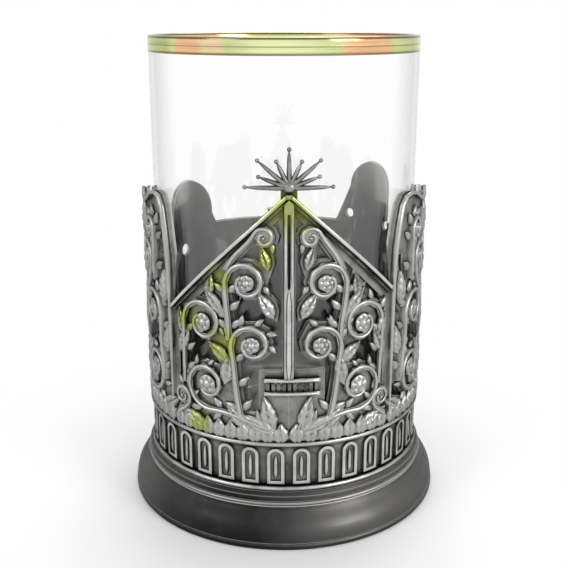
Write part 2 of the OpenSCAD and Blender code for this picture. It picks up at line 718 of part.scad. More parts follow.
// The handle: a curved bow, wider at its ends, between two brackets on the strap
bracket_t = 1.6;
bracket_w = 9;
bracket_h = 13;
handle_steps = 12;
bow_end_share = 0.4;
upper_pull_share = 0.35;
lower_pull_share = 0.42;
waist_share = 0.38;
handle_mid_z = (handle_top_z + handle_low_z) / 2 + handle_t;
bow_out = handle_reach - handle_t / 2;
bow_run = handle_reach - rail_r;
bow_rise = handle_w / 2;
bow_line = concat(
    curve([[rail_r, handle_top_z], [rail_r + bow_run * upper_pull_share, handle_top_z + bow_rise],
        [bow_out, handle_top_z + bow_rise], [bow_out, handle_mid_z]], handle_steps),
    [for (i = [1:handle_steps]) curve([[bow_out, handle_mid_z], [bow_out, handle_low_z + 2 * bow_rise],
        [rail_r + bow_run * lower_pull_share, handle_low_z], [rail_r, handle_low_z]], handle_steps)[i]]);
function bow_half(i) = handle_t / 2 * (1 + bow_end_share * pow(i / handle_steps - 1, 2));
function bow_side(s) = [for (i = [0:2 * handle_steps])
    bow_line[i] + s * across(bow_line, i) * bow_half(i)];
module along_width(w) { rotate([90, 0, 90]) translate([0, 0, -w / 2]) linear_extrude(w) children(); }
function bow_outline() = let (inner = bow_side(-1))
    concat(bow_side(1), [for (i = [2 * handle_steps:-1:0]) inner[i]]);
module bow_body() {
    difference() {
        along_width(handle_w) polygon(bow_outline());
        cylinder(r = rail_r + bracket_t, h = saddle_z + over);
    }
}
module handle_bow() {
    waist = handle_w * waist_share;
    edge = curve([[handle_w / 2, handle_low_z - handle_w], [waist, handle_mid_z - handle_w],
        [waist, handle_mid_z + handle_w], [handle_w / 2, handle_top_z + handle_w]], handle_steps);
    color(silver) intersection() {
        bow_body();
        through_back() polygon(concat(edge, [for (i = [handle_steps:-1:0]) [-edge[i][0], edge[i][1]]]));
    }
}

// A bracket: a curved plate, round at both ends, fixed to the strap behind the bow's end
module bracket(z) {
    color(silver) intersection() {
        ring_sector(rail_r, rail_r + bracket_t, 90, 270, z - bracket_h / 2, z + bracket_h / 2);
        through_back() {
            translate([-bracket_w / 2, z - bracket_h / 2 + bracket_w / 2])
                square([bracket_w, bracket_h - bracket_w]);
            for (s = [-1, 1]) translate([0, z + s * (bracket_h - bracket_w) / 2]) circle(bracket_w / 2);
        }
    }
}
module handle_upper_bracket() { bracket(handle_top_z); }
module handle_lower_bracket() { bracket(handle_low_z); }

// The thumb rest: a leaf-shaped plate on the bow's back, curled up at its tip
rest_w = 13;
rest_t = 1.3;
rest_blunt_share = 0.08;
rest_first = 3;
rest_last = 7;
curl_run = 2.6;
curl_high = [4.6, 1.3];
curl_end = [3.3, 2.9];
curl_steps = 6;
function rest_edge(side, half_l) = [for (i = [0:handle_steps]) let (t = side * (2 * i / handle_steps - 1),
    blunt = rest_blunt_share + (1 - 2 * rest_blunt_share) * (1 + t) / 2)
    [side * rest_w / 2 * sqrt(sin(180 * blunt)), half_l * t]];
module handle_thumb_rest() {
    on_bow = bow_side(1);
    plate = [for (i = [rest_first:rest_last]) on_bow[i] + across(bow_line, i) * rest_t / 2];
    tip = plate[rest_last - rest_first];
    before = plate[rest_last - rest_first - 1];
    ahead = (tip - before) / norm(tip - before);
    curl = curve([tip, tip + ahead * curl_run, tip + curl_high, tip + curl_end], curl_steps);
    half_l = (tip[0] - plate[0][0]) / 2 + 2 * rest_t;
    color(silver) intersection() {
        along_width(rest_w) difference() {
            polygon(ribbon(concat(plate, [for (i = [1:curl_steps]) curl[i]]), rest_t, rest_t));
            polygon(bow_outline());
        }
        translate([0, plate[0][0] - rest_t + half_l, handle_mid_z]) linear_extrude(handle_reach)
            polygon(concat(rest_edge(1, half_l), rest_edge(-1, half_l)));
    }
}

// The tea glass: straight, round at its heel, hollow underneath, with a gilded lip
heel_steps = 6;
glass_r = glass_d / 2;
gilt_z = glass_z + glass_h - gilt_h;
heel_line = [for (i = [0:heel_steps]) [glass_r - glass_heel_r, glass_z + glass_heel_r]
    + on_circle(glass_heel_r, -90 + 90 * i / heel_steps)];
bore_r = glass_r - glass_wall;
bore_heel_r = glass_heel_r - glass_wall;
bore_line = [for (i = [heel_steps:-1:0]) [bore_r - bore_heel_r, glass_z + glass_base + bore_heel_r]
    + on_circle(bore_heel_r, -90 + 90 * i / heel_steps)];
stand_w = 6;
module tumbler() {
    stand_r = glass_r - glass_heel_r - stand_w;
    color(clear_glass) rotate_extrude() polygon(concat([[0, glass_z + glass_punt],
        [stand_r - glass_punt, glass_z + glass_punt], [stand_r, glass_z]], heel_line,
        [[glass_r, gilt_z], [bore_r, gilt_z]], bore_line, [[0, glass_z + glass_base]]));
}
module gilt_rim() {
    color(gold) rotate_extrude() {
        lip_r = (glass_wall + gilt_t) / 2;
        translate([bore_r, gilt_z]) square([2 * lip_r, gilt_h - lip_r]);
        translate([bore_r + lip_r, gilt_z + gilt_h - lip_r]) circle(lip_r);
    }
}

foot_shell();
foot_edge_ring();
floor_disc();
frieze_band();
frieze_lower_bead();
frieze_upper_bead();
openwork_front_left();
openwork_front_right();
openwork_left();
openwork_right();
openwork_back_left();
openwork_back_right();
back_strap();
centre_post();
gable_rail_left();
gable_rail_right();
starburst();
balustrade();
handle_bow();
handle_thumb_rest();
handle_upper_bracket();
handle_lower_bracket();
tumbler();
gilt_rim();
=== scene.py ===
"""A tea glass in its metal holder: the finish of every surface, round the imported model."""

import math

import bmesh
import bpy
from mathutils import Matrix, Vector


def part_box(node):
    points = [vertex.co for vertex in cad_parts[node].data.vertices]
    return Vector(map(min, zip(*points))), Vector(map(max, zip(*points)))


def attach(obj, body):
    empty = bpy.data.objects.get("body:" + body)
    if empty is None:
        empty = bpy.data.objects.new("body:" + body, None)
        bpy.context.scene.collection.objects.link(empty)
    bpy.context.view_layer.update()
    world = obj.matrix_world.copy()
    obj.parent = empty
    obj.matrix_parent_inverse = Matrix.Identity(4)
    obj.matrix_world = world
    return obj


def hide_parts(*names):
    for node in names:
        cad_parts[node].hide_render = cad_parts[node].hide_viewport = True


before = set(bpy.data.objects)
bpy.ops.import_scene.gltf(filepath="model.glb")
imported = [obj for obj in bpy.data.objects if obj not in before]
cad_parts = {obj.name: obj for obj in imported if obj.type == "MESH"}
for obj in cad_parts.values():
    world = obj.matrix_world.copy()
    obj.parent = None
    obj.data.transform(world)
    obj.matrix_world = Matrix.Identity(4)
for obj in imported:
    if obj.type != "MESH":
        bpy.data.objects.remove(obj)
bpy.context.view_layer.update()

# The foot is a skirt spun from sheet brass, blackened and then polished by handling.
# Its neck turns in under the band and carries the floor; a bead runs round its shoulder.
mm = 0.001
foot_low, foot_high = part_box("foot_shell")
foot_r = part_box("foot_edge_ring")[1].x
neck_r = 37.8 * mm
sheet_t = 1.2 * mm
edge_h = foot_low.z
edge_w = 1.9 * mm
shoulder_h = 2.8 * mm
bead_z = foot_high.z - shoulder_h
spin_steps = 144


def points(*pairs):
    """Flat points from pairs of numbers."""
    return [Vector(p) for p in pairs]


def on_circle(r, a):
    """A point at a degrees on a circle of radius r."""
    return Vector((r * math.cos(math.radians(a)), r * math.sin(math.radians(a))))


def arc(centre, r, first_a, last_a, steps):
    """Points on a circle round a centre, from one angle to another in degrees."""
    return [centre + r * on_circle(1, first_a + (last_a - first_a) * i / steps) for i in range(steps + 1)]


def curve(p, n):
    """n + 1 points along a cubic curve through the control points p."""
    row = []
    for i in range(n + 1):
        t = i / n
        s = 1 - t
        row.append(s ** 3 * p[0] + 3 * s * s * t * p[1] + 3 * s * t * t * p[2] + t ** 3 * p[3])
    return row


def finished(name, bm, finish, sharp=35):
    """The object of a bmesh in its finish, smooth but for edges sharper than so many degrees."""
    mesh = bpy.data.meshes.new(name)
    bm.to_mesh(mesh)
    bm.free()
    mesh.materials.append(finish)
    obj = bpy.data.objects.new(name, mesh)
    bpy.context.scene.collection.objects.link(obj)
    mesh.shade_smooth()
    mesh.set_sharp_from_angle(angle=math.radians(sharp))
    return obj


def spun(name, profile, finish, closed=True):
    """A body of revolution from (radius, height) points, closed where the profile meets the axis."""
    bm = bmesh.new()
    row = [bm.verts.new((p[0], 0, p[1])) for p in profile]
    edges = [bm.edges.new((row[i], row[i + 1])) for i in range(len(row) - 1)]
    if closed:
        edges.append(bm.edges.new((row[-1], row[0])))
    bmesh.ops.spin(bm, geom=row + edges, cent=(0, 0, 0), axis=(0, 0, 1), angle=2 * math.pi,
                   steps=spin_steps, use_merge=True)
    bmesh.ops.remove_doubles(bm, verts=bm.verts, dist=0.002 * mm)
    bmesh.ops.recalc_face_normals(bm, faces=bm.faces)
    return finished(name, bm, finish)


def fed(tree, node, inputs):
    """Gives each named input of a node its value, or wires it to another node's output."""
    for key, value in inputs.items():
        if hasattr(value, "is_output"):
            tree.links.new(value, node.inputs[key])
        else:
            node.inputs[key].default_value = value


def wired(tree, kind, inputs={}, **settings):
    """A new node with its settings and its inputs."""
    node = tree.nodes.new(kind)
    for key, value in settings.items():
        setattr(node, key, value)
    fed(tree, node, inputs)
    return node


def maths(tree, operation, *values, clamp=False):
    """The result of a sum on values and outputs."""
    node = wired(tree, "ShaderNodeMath", operation=operation, use_clamp=clamp)
    fed(tree, node, dict(enumerate(values)))
    return node.outputs[0]


def ranged(tree, value, low, high, at_low, at_high, smooth=False):
    """A value between low and high mapped to one between at_low and at_high."""
    node = wired(tree, "ShaderNodeMapRange", {0: value, 1: low, 2: high, 3: at_low, 4: at_high},
                 interpolation_type="SMOOTHSTEP" if smooth else "LINEAR")
    return node.outputs[0]


def mixed(tree, amount, at_none, at_full, blend="MIX"):
    """One colour where the amount is 0, going over to another where it is 1."""
    node = wired(tree, "ShaderNodeMix", data_type="RGBA", blend_type=blend)
    fed(tree, node, {0: amount, 6: at_none, 7: at_full})
    return node.outputs[2]


def noise(tree, place, scale, detail, roughness=0.5):
    """A cloudy pattern, with so many clouds to the metre."""
    node = wired(tree, "ShaderNodeTexNoise", {"Vector": place, "Scale": scale, "Detail": detail,
                                              "Roughness": roughness})
    return node.outputs["Fac"]


def far_from(tree, place, point):
    """How far a place on the surface is from a point."""
    node = wired(tree, "ShaderNodeVectorMath", {0: place, 1: point}, operation="DISTANCE")
    return node.outputs["Value"]


def mask_group(name, **inputs):
    """An empty group for a mask that several finishes use, and the outputs of its inputs."""
    tree = bpy.data.node_groups.new(name, "ShaderNodeTree")
    for key, kind in inputs.items():
        tree.interface.new_socket(key, in_out="INPUT", socket_type=kind)
    tree.interface.new_socket("Mask", in_out="OUTPUT", socket_type="NodeSocketFloat")
    return tree, wired(tree, "NodeGroupInput").outputs


def masked(tree, group, **values):
    """The mask that a group puts out for these values of its inputs."""
    return wired(tree, "ShaderNodeGroup", values, node_tree=group).outputs["Mask"]


def worn_edges_group():
    """A mask that is 1 on sharp outer edges, where hands and polish wear the patina off."""
    tree, given = mask_group("worn_edges", Width="NodeSocketFloat", Contrast="NodeSocketFloat")
    rounded = wired(tree, "ShaderNodeBevel", {"Radius": given["Width"]}, samples=4)
    plain = wired(tree, "ShaderNodeNewGeometry")
    dot = wired(tree, "ShaderNodeVectorMath", {0: rounded.outputs["Normal"], 1: plain.outputs["Normal"]},
                operation="DOT_PRODUCT")
    away = maths(tree, "SUBTRACT", 1.0, dot.outputs["Value"])
    mask = maths(tree, "MULTIPLY", away, given["Contrast"], clamp=True)
    wired(tree, "NodeGroupOutput", {"Mask": mask})
    return tree


def black_recess_group():
    """A mask that falls to 0 in corners and recesses, where the blackening can't be rubbed off."""
    tree, given = mask_group("black_recess", Depth="NodeSocketFloat", Contrast="NodeSocketFloat")
    nook = wired(tree, "ShaderNodeAmbientOcclusion", {"Distance": given["Depth"]}, samples=6)
    mask = maths(tree, "POWER", nook.outputs["AO"], given["Contrast"], clamp=True)
    wired(tree, "NodeGroupOutput", {"Mask": mask})
    return tree


worn_edges = worn_edges_group()
black_recess = black_recess_group()
edge_on_tint = (0.62, 0.62, 0.62, 1)


def new_material(name):
    """An empty node material and its tree, with a Principled shader wired to the output."""
    material = bpy.data.materials.new(name)
    material.use_nodes = True
    tree = material.node_tree
    tree.nodes.clear()
    shader = wired(tree, "ShaderNodeBsdfPrincipled")
    wired(tree, "ShaderNodeOutputMaterial", {"Surface": shader.outputs[0]})
    return material, tree, shader


def foot_finish():
    """Dark spun metal: rings left by the lathe, faint scratches, and a patina made darker round three points
    low on the skirt, the one at the front left a painted dark reflection; rubbed bright on the bead round
    the shoulder."""
    material, tree, shader = new_material("blackened_foot")
    place = wired(tree, "ShaderNodeTexCoord").outputs["Object"]
    z = wired(tree, "ShaderNodeSeparateXYZ", {0: place}).outputs["Z"]
    rings = wired(tree, "ShaderNodeTexNoise", {"W": z, "Scale": 2600.0, "Detail": 2.0},
                  noise_dimensions="1D")
    squeezed = wired(tree, "ShaderNodeMapping", {"Vector": place, "Scale": (60, 60, 900)})
    scratches = noise(tree, squeezed.outputs[0], 1.0, 5.0)
    cloud = ranged(tree, noise(tree, place, 55.0, 6.0, 0.6), 0.3, 0.7, -0.2, 0.2)
    # The patina is made darker round three points low on the skirt; the one at the front left is a painted
    # dark reflection.
    dark_spots_and_painted_reflection = 1.0
    for x, y, reach in ((-17, -36, 34), (-38, 18, 30), (30, 28, 26)):
        gap = far_from(tree, place, (x * mm, y * mm, 4 * mm))
        dark_spots_and_painted_reflection = maths(tree, "MINIMUM", dark_spots_and_painted_reflection, ranged(tree, gap, 6 * mm, reach * mm, 0.05, 0.85, smooth=True))
    patina = mixed(tree, maths(tree, "ADD", dark_spots_and_painted_reflection, cloud, clamp=True),
                   (0.018, 0.018, 0.019, 1), (0.115, 0.113, 0.11, 1))
    nook = masked(tree, black_recess, Depth=1.5 * mm, Contrast=4.0)
    shaded = mixed(tree, nook, (0.008, 0.008, 0.009, 1), patina)
    on_bead = maths(tree, "COMPARE", z, bead_z, 0.36 * mm)
    worn = masked(tree, worn_edges, Width=0.4 * mm, Contrast=8.0)
    bright = maths(tree, "MULTIPLY_ADD", on_bead, 0.55, worn, clamp=True)
    colour = mixed(tree, bright, shaded, (0.46, 0.45, 0.43, 1))
    rough = ranged(tree, scratches, 0.3, 0.75, 0.37, 0.53)
    height = maths(tree, "ADD", rings.outputs["Fac"], scratches)
    bump = wired(tree, "ShaderNodeBump", {"Height": height, "Strength": 0.12, "Distance": 0.05 * mm})
    fed(tree, shader, {"Base Color": colour, "Roughness": rough, "Normal": bump.outputs[0],
                       "Metallic": 0.9, "Specular Tint": edge_on_tint})
    return material


blackened_foot = foot_finish()
skirt_r = foot_r - edge_w / 10
skirt_h = foot_high.z - edge_h - shoulder_h
skirt = curve(points((skirt_r, edge_h), (skirt_r, edge_h + skirt_h * 0.6),
                     (neck_r + edge_w / 5, edge_h + skirt_h * 0.66), (neck_r, edge_h + skirt_h)), 28)
shoulder_groove = points((neck_r - 0.1 * mm, bead_z - 1.1 * mm), (neck_r - 0.6 * mm, bead_z - 0.8 * mm))
shoulder_bead = arc(Vector((neck_r, bead_z)), 0.5 * mm, -96, 80, 11)
wall_in_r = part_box("floor_disc")[1].x
wall_r = wall_in_r + sheet_t
ledge_r = wall_in_r - 3.2 * mm
ledge_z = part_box("floor_disc")[0].z + 0.5 * mm
inward = points((neck_r, foot_high.z - shoulder_h / 3), (wall_r + 1.3 * mm, foot_high.z - 0.2 * mm),
                (wall_r + 1.1 * mm, foot_high.z), (wall_in_r, foot_high.z), (wall_in_r, ledge_z),
                (ledge_r, ledge_z), (ledge_r, ledge_z - sheet_t), (neck_r - sheet_t, ledge_z - sheet_t))
skirt_inside = [p - Vector((sheet_t, 0)) for p in reversed(skirt)]
spun_foot = spun("spun_foot", skirt[:-2] + shoulder_groove + shoulder_bead + inward + skirt_inside,
                 blackened_foot)
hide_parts("foot_shell")
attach(spun_foot, "holder")

# The foot's lower edge is rolled over a wire into a round lip, flat where it stands.
# It is the same blackened brass, rubbed bright by the table.
edge_round = 0.6 * mm
round_r = foot_r - edge_round
rolled = [Vector((foot_r - edge_w, 0))]
rolled += arc(Vector((round_r, edge_round)), edge_round, -90, 0, 6)
rolled += arc(Vector((round_r, edge_h - edge_round)), edge_round, 0, 90, 6)
rolled += [Vector((foot_r - edge_w, edge_h))]
rolled_edge = spun("rolled_edge", rolled, blackened_foot)
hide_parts("foot_edge_ring")
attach(rolled_edge, "holder")


# The floor is a pressed disc, soldered in under the glass. Its silvering is
# dull and dark, because nothing rubs it.
def brass_shows_group():
    """A mask of the places where the silvering is worn through to the brass: the tops near the
    gable's apex and a few leaves, with ragged edges."""
    tree, given = mask_group("brass_shows", Position="NodeSocketVector", Amount="NodeSocketFloat")
    ragged = noise(tree, given["Position"], 330.0, 3.0)
    spots = 0.0
    for x, y, z, reach in ((0, -37, 85, 12), (-5.2, -36.4, 73, 6.5), (-16.1, -33.1, 67, 6),
                           (-24, -27.8, 56, 6), (-15.5, -33.3, 51, 8), (-21.8, -29.7, 29, 6)):
        gap = far_from(tree, given["Position"], (x * mm, y * mm, z * mm))
        spot = ranged(tree, gap, reach * mm, reach * 0.1 * mm, 0.0, 0.95, smooth=True)
        spots = maths(tree, "MAXIMUM", spots, spot)
    cut = ranged(tree, maths(tree, "ADD", spots, ragged), 0.75, 1.3, 0.0, 1.0)
    wired(tree, "NodeGroupOutput", {"Mask": maths(tree, "MULTIPLY", cut, given["Amount"])})
    return tree


brass_shows = brass_shows_group()


def toned(tree, value, stops):
    """The colour at a value on a ramp, given as pairs of place and colour in rising order."""
    node = wired(tree, "ShaderNodeValToRGB", {"Fac": value})
    elements = node.color_ramp.elements
    elements[0].position, elements[1].position = stops[0][0], stops[-1][0]
    for at, colour in stops[1:-1]:
        elements.new(at)
    for element, (at, colour) in zip(elements, stops):
        element.color = colour
    return node.outputs["Color"]


def silver_finish(name, low_r, high_r, tones, roughness, recess=2.2, brass_amount=0.0, stipple=0.0):
    """Blackened silver: dark patina low in the relief and in its corners, bright where it stands proud and
    on edges,
    with painted light and shade: lighter in front, darker to the sides and back, and lighter on the inside
    of the wall. The tones run from black recess to rubbed edge."""
    material, tree, shader = new_material(name)
    place = wired(tree, "ShaderNodeTexCoord").outputs["Object"]
    y = wired(tree, "ShaderNodeSeparateXYZ", {0: place}).outputs["Y"]
    flat = wired(tree, "ShaderNodeVectorMath", {0: place, 1: (1, 1, 0)}, operation="MULTIPLY")
    radius = wired(tree, "ShaderNodeVectorMath", {0: flat.outputs[0]}, operation="LENGTH").outputs["Value"]
    raised = ranged(tree, radius, low_r, high_r, 0.3, 0.72)
    # The inside of the wall is painted lighter, as painted light, and is kept out of the darkening in
    # recesses.
    inside_painted_lighter = ranged(tree, radius, wall_in_r + 0.1 * mm, wall_in_r + 0.6 * mm, 1.0, 0.0)
    # Painted light and shade: raised parts are made lighter in front and darker to the sides and back.
    painted_light_in_front = ranged(tree, y, -34 * mm, -12 * mm, 1.12, 0.84, smooth=True)
    lifted = maths(tree, "MULTIPLY_ADD", inside_painted_lighter, 0.6, maths(tree, "MULTIPLY", raised, painted_light_in_front))
    cloud = ranged(tree, noise(tree, place, 190.0, 5.0, 0.65), 0.3, 0.7, -0.16, 0.16)
    nook = masked(tree, black_recess, Depth=1.6 * mm, Contrast=recess)
    wiped = maths(tree, "MAXIMUM", nook, inside_painted_lighter)
    shaded = maths(tree, "MULTIPLY", maths(tree, "ADD", lifted, cloud), wiped)
    worn = masked(tree, worn_edges, Width=0.22 * mm, Contrast=4.0)
    rubbed = maths(tree, "MULTIPLY_ADD", worn, 0.3, shaded, clamp=True)
    silver = toned(tree, rubbed, [(at, (grey, grey * 0.99, grey * 0.965, 1))
                                  for at, grey in zip((0.04, 0.3, 0.62, 1.0), tones)])
    brass = mixed(tree, rubbed, (0.034, 0.04, 0.005, 1), (0.50, 0.56, 0.165, 1))
    patches = masked(tree, brass_shows, Position=place, Amount=brass_amount)
    rough = ranged(tree, rubbed, 0.0, 1.0, roughness + 0.2, roughness)
    smoother = ranged(tree, inside_painted_lighter, 0.0, 1.0, 1.0, 0.15)
    grain = maths(tree, "MULTIPLY", noise(tree, place, 1500.0, 3.0), smoother)
    dots = wired(tree, "ShaderNodeTexVoronoi", {"Vector": place, "Scale": 1150.0})
    ground = maths(tree, "COMPARE", radius, wall_r, 0.25 * mm)
    struck = maths(tree, "MULTIPLY", ground, -stipple)
    surface = maths(tree, "MULTIPLY_ADD", dots.outputs["Distance"], struck, grain)
    bump = wired(tree, "ShaderNodeBump", {"Height": surface, "Strength": 0.4, "Distance": 0.08 * mm})
    fed(tree, shader, {"Base Color": mixed(tree, patches, silver, brass), "Roughness": rough,
                       "Normal": bump.outputs[0], "Metallic": 0.95, "Specular Tint": edge_on_tint})
    return material


def soldered(name, bm, finish, node=None, sharp=60):
    """A piece of the holder in its finish, in the place of its CAD node where it has one."""
    piece = finished(name, bm, finish, sharp)
    if node:
        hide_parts(node)
    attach(piece, "holder")


def softened(node, name, finish, width=0):
    """A copy of a CAD node with its vertices merged and its edges rounded by width."""
    bm = bmesh.new()
    bm.from_mesh(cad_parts[node].data)
    bmesh.ops.remove_doubles(bm, verts=bm.verts, dist=0.004 * mm)
    bmesh.ops.dissolve_limit(bm, angle_limit=math.radians(1), verts=bm.verts, edges=bm.edges)
    if width:
        keen = [e for e in bm.edges if e.is_manifold and e.calc_face_angle(0) > math.radians(40)]
        bmesh.ops.bevel(bm, geom=keen, offset=width, segments=2, profile=0.5, affect="EDGES",
                        clamp_overlap=True, material=-1)
    bmesh.ops.triangulate(bm, faces=[f for f in bm.faces if len(f.verts) > 4])
    soldered(name, bm, finish, node, sharp=35)


dull_silver = silver_finish("dull_silver", 20 * mm, 60 * mm, (0.02, 0.1, 0.2, 0.42), 0.38, recess=1.2)
softened("floor_disc", "pressed_floor", dull_silver)

# The band is a ring of silvered sheet with upright hollow flutes, between two round beads.
# A slender reed stands in each flute. Rims and reeds are rubbed bright, and the hollows are black.
band_low_z = foot_high.z
band_top_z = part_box("frieze_band")[1].z
arc_deg = wall_r * math.pi / 180
flute_count = 36
flute_w = 4.2 * mm
bead_h = 1.3 * mm
hollow_r = wall_r + 0.2 * mm
band_silver = silver_finish("band_silver", wall_r, wall_r + 0.75 * mm, (0.008, 0.14, 0.42, 0.7), 0.3,
                            recess=2.8)
softened("frieze_band", "fluted_band", band_silver, 0.12 * mm)
bead_silver = silver_finish("bead_silver", wall_r - 0.6 * mm, wall_r + 1.3 * mm, (0.01, 0.07, 0.28, 0.64),
                            0.28, recess=3.0)
for end in ("lower", "upper"):
    softened(f"frieze_{end}_bead", f"band_bead_{end}", bead_silver)


def on_wall(x, z, r, a):
    """The place at radius r over a point x, z of the chord plane of a panel at angle a."""
    return Matrix.Rotation(math.radians(a), 3, "Z") @ Vector((x, -math.sqrt(r * r - x * x), z))


def wrapped(bm, a, centre_r):
    """Bends a flat relief, drawn in arc length, height and depth, round the wall."""
    for v in bm.verts:
        x = wall_r * math.sin(math.radians(v.co.x / arc_deg))
        v.co = on_wall(x, v.co.y, centre_r + v.co.z, a)


def added(bm, part):
    """Puts a small closed mesh into the one that it belongs to, with its faces outwards."""
    bmesh.ops.recalc_face_normals(part, faces=part.faces)
    if part.calc_volume(signed=True) < 0:
        bmesh.ops.reverse_faces(part, faces=part.faces)
    mesh = bpy.data.meshes.new("part")
    part.to_mesh(mesh)
    part.free()
    bm.from_mesh(mesh)
    bpy.data.meshes.remove(mesh)


def rib(bm, row, w0, w1, sides=12, blunt=True):
    """A round rib along a flat row of points, its radius going from w0 to w1, with round ends."""
    line = bpy.data.curves.new("rib", "CURVE")
    line.dimensions = "3D"
    spline = line.splines.new("POLY")
    spline.points.add(len(row) - 1)
    last = len(row) - 1
    for i, p in enumerate(row):
        spline.points[i].co = (p[0], p[1], 0, 1)
        round_end = min(1.0, math.sqrt((min(i, last - i) + 0.25) / 2)) if blunt else 1.0
        spline.points[i].radius = (w0 + (w1 - w0) * i / last) * round_end
    line.bevel_depth = 1
    line.bevel_resolution = sides // 4 - 1
    line.use_fill_caps = True
    holder = bpy.data.objects.new("rib", line)
    part = bmesh.new()
    part.from_mesh(holder.to_mesh())
    holder.to_mesh_clear()
    bpy.data.objects.remove(holder)
    bpy.data.curves.remove(line)
    bmesh.ops.remove_doubles(part, verts=part.verts, dist=0.001 * mm)
    added(bm, part)


def evenly(a, b, n):
    """n + 1 points on the line from a to b."""
    return [Vector(a).lerp(Vector(b), i / n) for i in range(n + 1)]


reeds = bmesh.new()
reed_low_z = band_low_z + bead_h + 1.9 * mm
reed_high_z = band_top_z - bead_h - 0.6 * mm - flute_w / 2
strap_clear_a = 14
for i in range(flute_count):
    reed_a = (2 * i + 1) * 180 / flute_count
    if abs(reed_a - 180) < strap_clear_a:
        continue
    reed = bmesh.new()
    rib(reed, evenly((0, reed_low_z), (0, reed_high_z), 8), 0.62 * mm, 0.5 * mm)
    wrapped(reed, reed_a, hollow_r)
    added(reeds, reed)
soldered("band_reeds", reeds, band_silver)

# The wall is cast in six pierced panels, soldered edge to edge. Scrolls with round stems, leaves
# and rosettes stand out of a dark stippled ground, over a border of pointed leaves.
relief_r = wall_r + 0.9 * mm
blackened_silver = silver_finish("blackened_silver", wall_r, relief_r + 0.45 * mm, (0.03, 0.23, 0.4, 0.52),
                                 0.32, recess=1.3, brass_amount=0.95, stipple=1.6)
stem_steps, spiral_steps = 12, 40
spiral_a, spiral_in = 414, 0.66


def scroll_path(root, root_a, eye, r, start_a, turn):
    """The middle line of a scroll: a stem that meets a spiral and winds in round its eye."""
    first = eye + on_circle(r, start_a)
    pull = (first - root).length * 0.42
    head = turn * on_circle(1, start_a + 90)
    stem = curve([root, root + on_circle(pull, root_a), first - head * pull, first], stem_steps)
    return stem + [eye + on_circle(r * (1 - spiral_in * i / spiral_steps),
                                   start_a + turn * spiral_a * i / spiral_steps)
                   for i in range(1, spiral_steps + 1)]


def leaf(bm, stalk, a, length, width, base, lift_h, across=16, along=26, veins=5):
    """A domed leaf with a midrib and side veins: a ball with the stalk at one pole, the tip at the other."""
    blade = bmesh.new()
    ball = bmesh.ops.create_uvsphere(blade, u_segments=across, v_segments=along, radius=1)["verts"]
    ahead, aside = on_circle(1, a), on_circle(1, a + 90)
    for v in ball:
        t = math.acos(max(-1, min(1, -v.co.z))) / math.pi
        turn = math.atan2(v.co.y, v.co.x)
        side = math.cos(turn)
        half = width / 2 * math.sin(math.pi * t ** 0.75) * 1.1 + 0.06 * mm * math.sin(math.pi * t)
        lift = math.sin(turn) * math.sin(math.pi * min(1, t * 0.96 + 0.02)) ** 0.5
        if lift > 0 and veins:
            vein = math.cos(2 * math.pi * (veins * t - 0.9 * abs(side)))
            half *= 1 + 0.05 * vein
            lift *= 1 + 0.11 * vein - 0.5 * max(0, 1 - abs(side) * 2.6)
        elif lift < 0:
            lift *= 0.35
        flat = stalk + ahead * (length * (1.03 * t - 0.015)) + aside * (half * side)
        v.co = (flat.x, flat.y, base + lift * lift_h)
    added(bm, blade)


def rosette(bm, eye, r):
    """The rosette in a scroll: six petals round a button."""
    button = 0.34
    flower = bmesh.new()
    ball = bmesh.ops.create_uvsphere(flower, u_segments=36, v_segments=20, radius=1)["verts"]
    for v in ball:
        out = min(1, math.hypot(v.co.x, v.co.y))
        lift = v.co.z * 0.3
        if v.co.z > 0:
            petal = abs(math.cos(3 * math.atan2(v.co.y, v.co.x))) ** 0.6
            if out < button:
                lift = 0.45 + 0.45 * math.sqrt(1 - (out / button) ** 2)
            else:
                lift = 0.12 + 0.42 * petal * math.sin(math.pi * (out - button) / (1 - button)) ** 0.7
        v.co = (eye.x + v.co.x * r, eye.y + v.co.y * r, (lift - 0.25) * mm)
    added(bm, flower)


def leaflets(bm, path, length, wound, inside):
    """Small leaves that spring from a stem on both sides, and from a spiral on its outer side."""
    for n, i in enumerate(range(2, 34, 4)):
        ahead = (path[i + 1] - path[i - 1]).normalized()
        heading = math.degrees(math.atan2(ahead.y, ahead.x))
        sides = (-wound,) if i > stem_steps + 1 else (-1, 1) if n % 2 == 0 else (wound,)
        for side in sides:
            out = on_circle(1, heading + 90 * side)
            stalk = path[i] + out * 0.3 * mm
            size = length * (1 - 0.012 * i)
            leaf_a = heading + 52 * side
            tip = stalk + on_circle(size, leaf_a)
            if inside(tip) and inside(stalk):
                leaf(bm, stalk, leaf_a, size, 0.46 * size, -0.75 * mm, 0.75 * mm, 12, 12, 0)


stem_r = 0.56 * mm
stem_tip_r = 0.4 * mm
eye_share = 0.38


def ornament(bm, scrolls, leaves, x0, w, h, side, inside):
    """One half of a panel's relief, from tables of shares of its width w and height h."""
    def placed(share):
        """The point at a share of the width, out from x0, and a share of the height over the band."""
        return Vector((x0 + side * share[0] * w, band_top_z + share[1] * h))

    def mirrored(angle):
        """An angle in degrees, turned over on the left half."""
        return angle if side > 0 else 180 - angle

    for root, root_a, eye, r, start_a, turn in scrolls:
        path = scroll_path(placed(root), mirrored(root_a), placed(eye), r * h, mirrored(start_a),
                           side * turn)
        rib(bm, path, stem_r, stem_tip_r)
        leaflets(bm, path, 4.3 * mm, side * turn, inside)
        rosette(bm, placed(eye), r * h * eye_share)
    for stalk, a, length, width in leaves:
        leaf(bm, placed(stalk), mirrored(a), length * h, width * h, -0.6 * mm, 1.2 * mm)


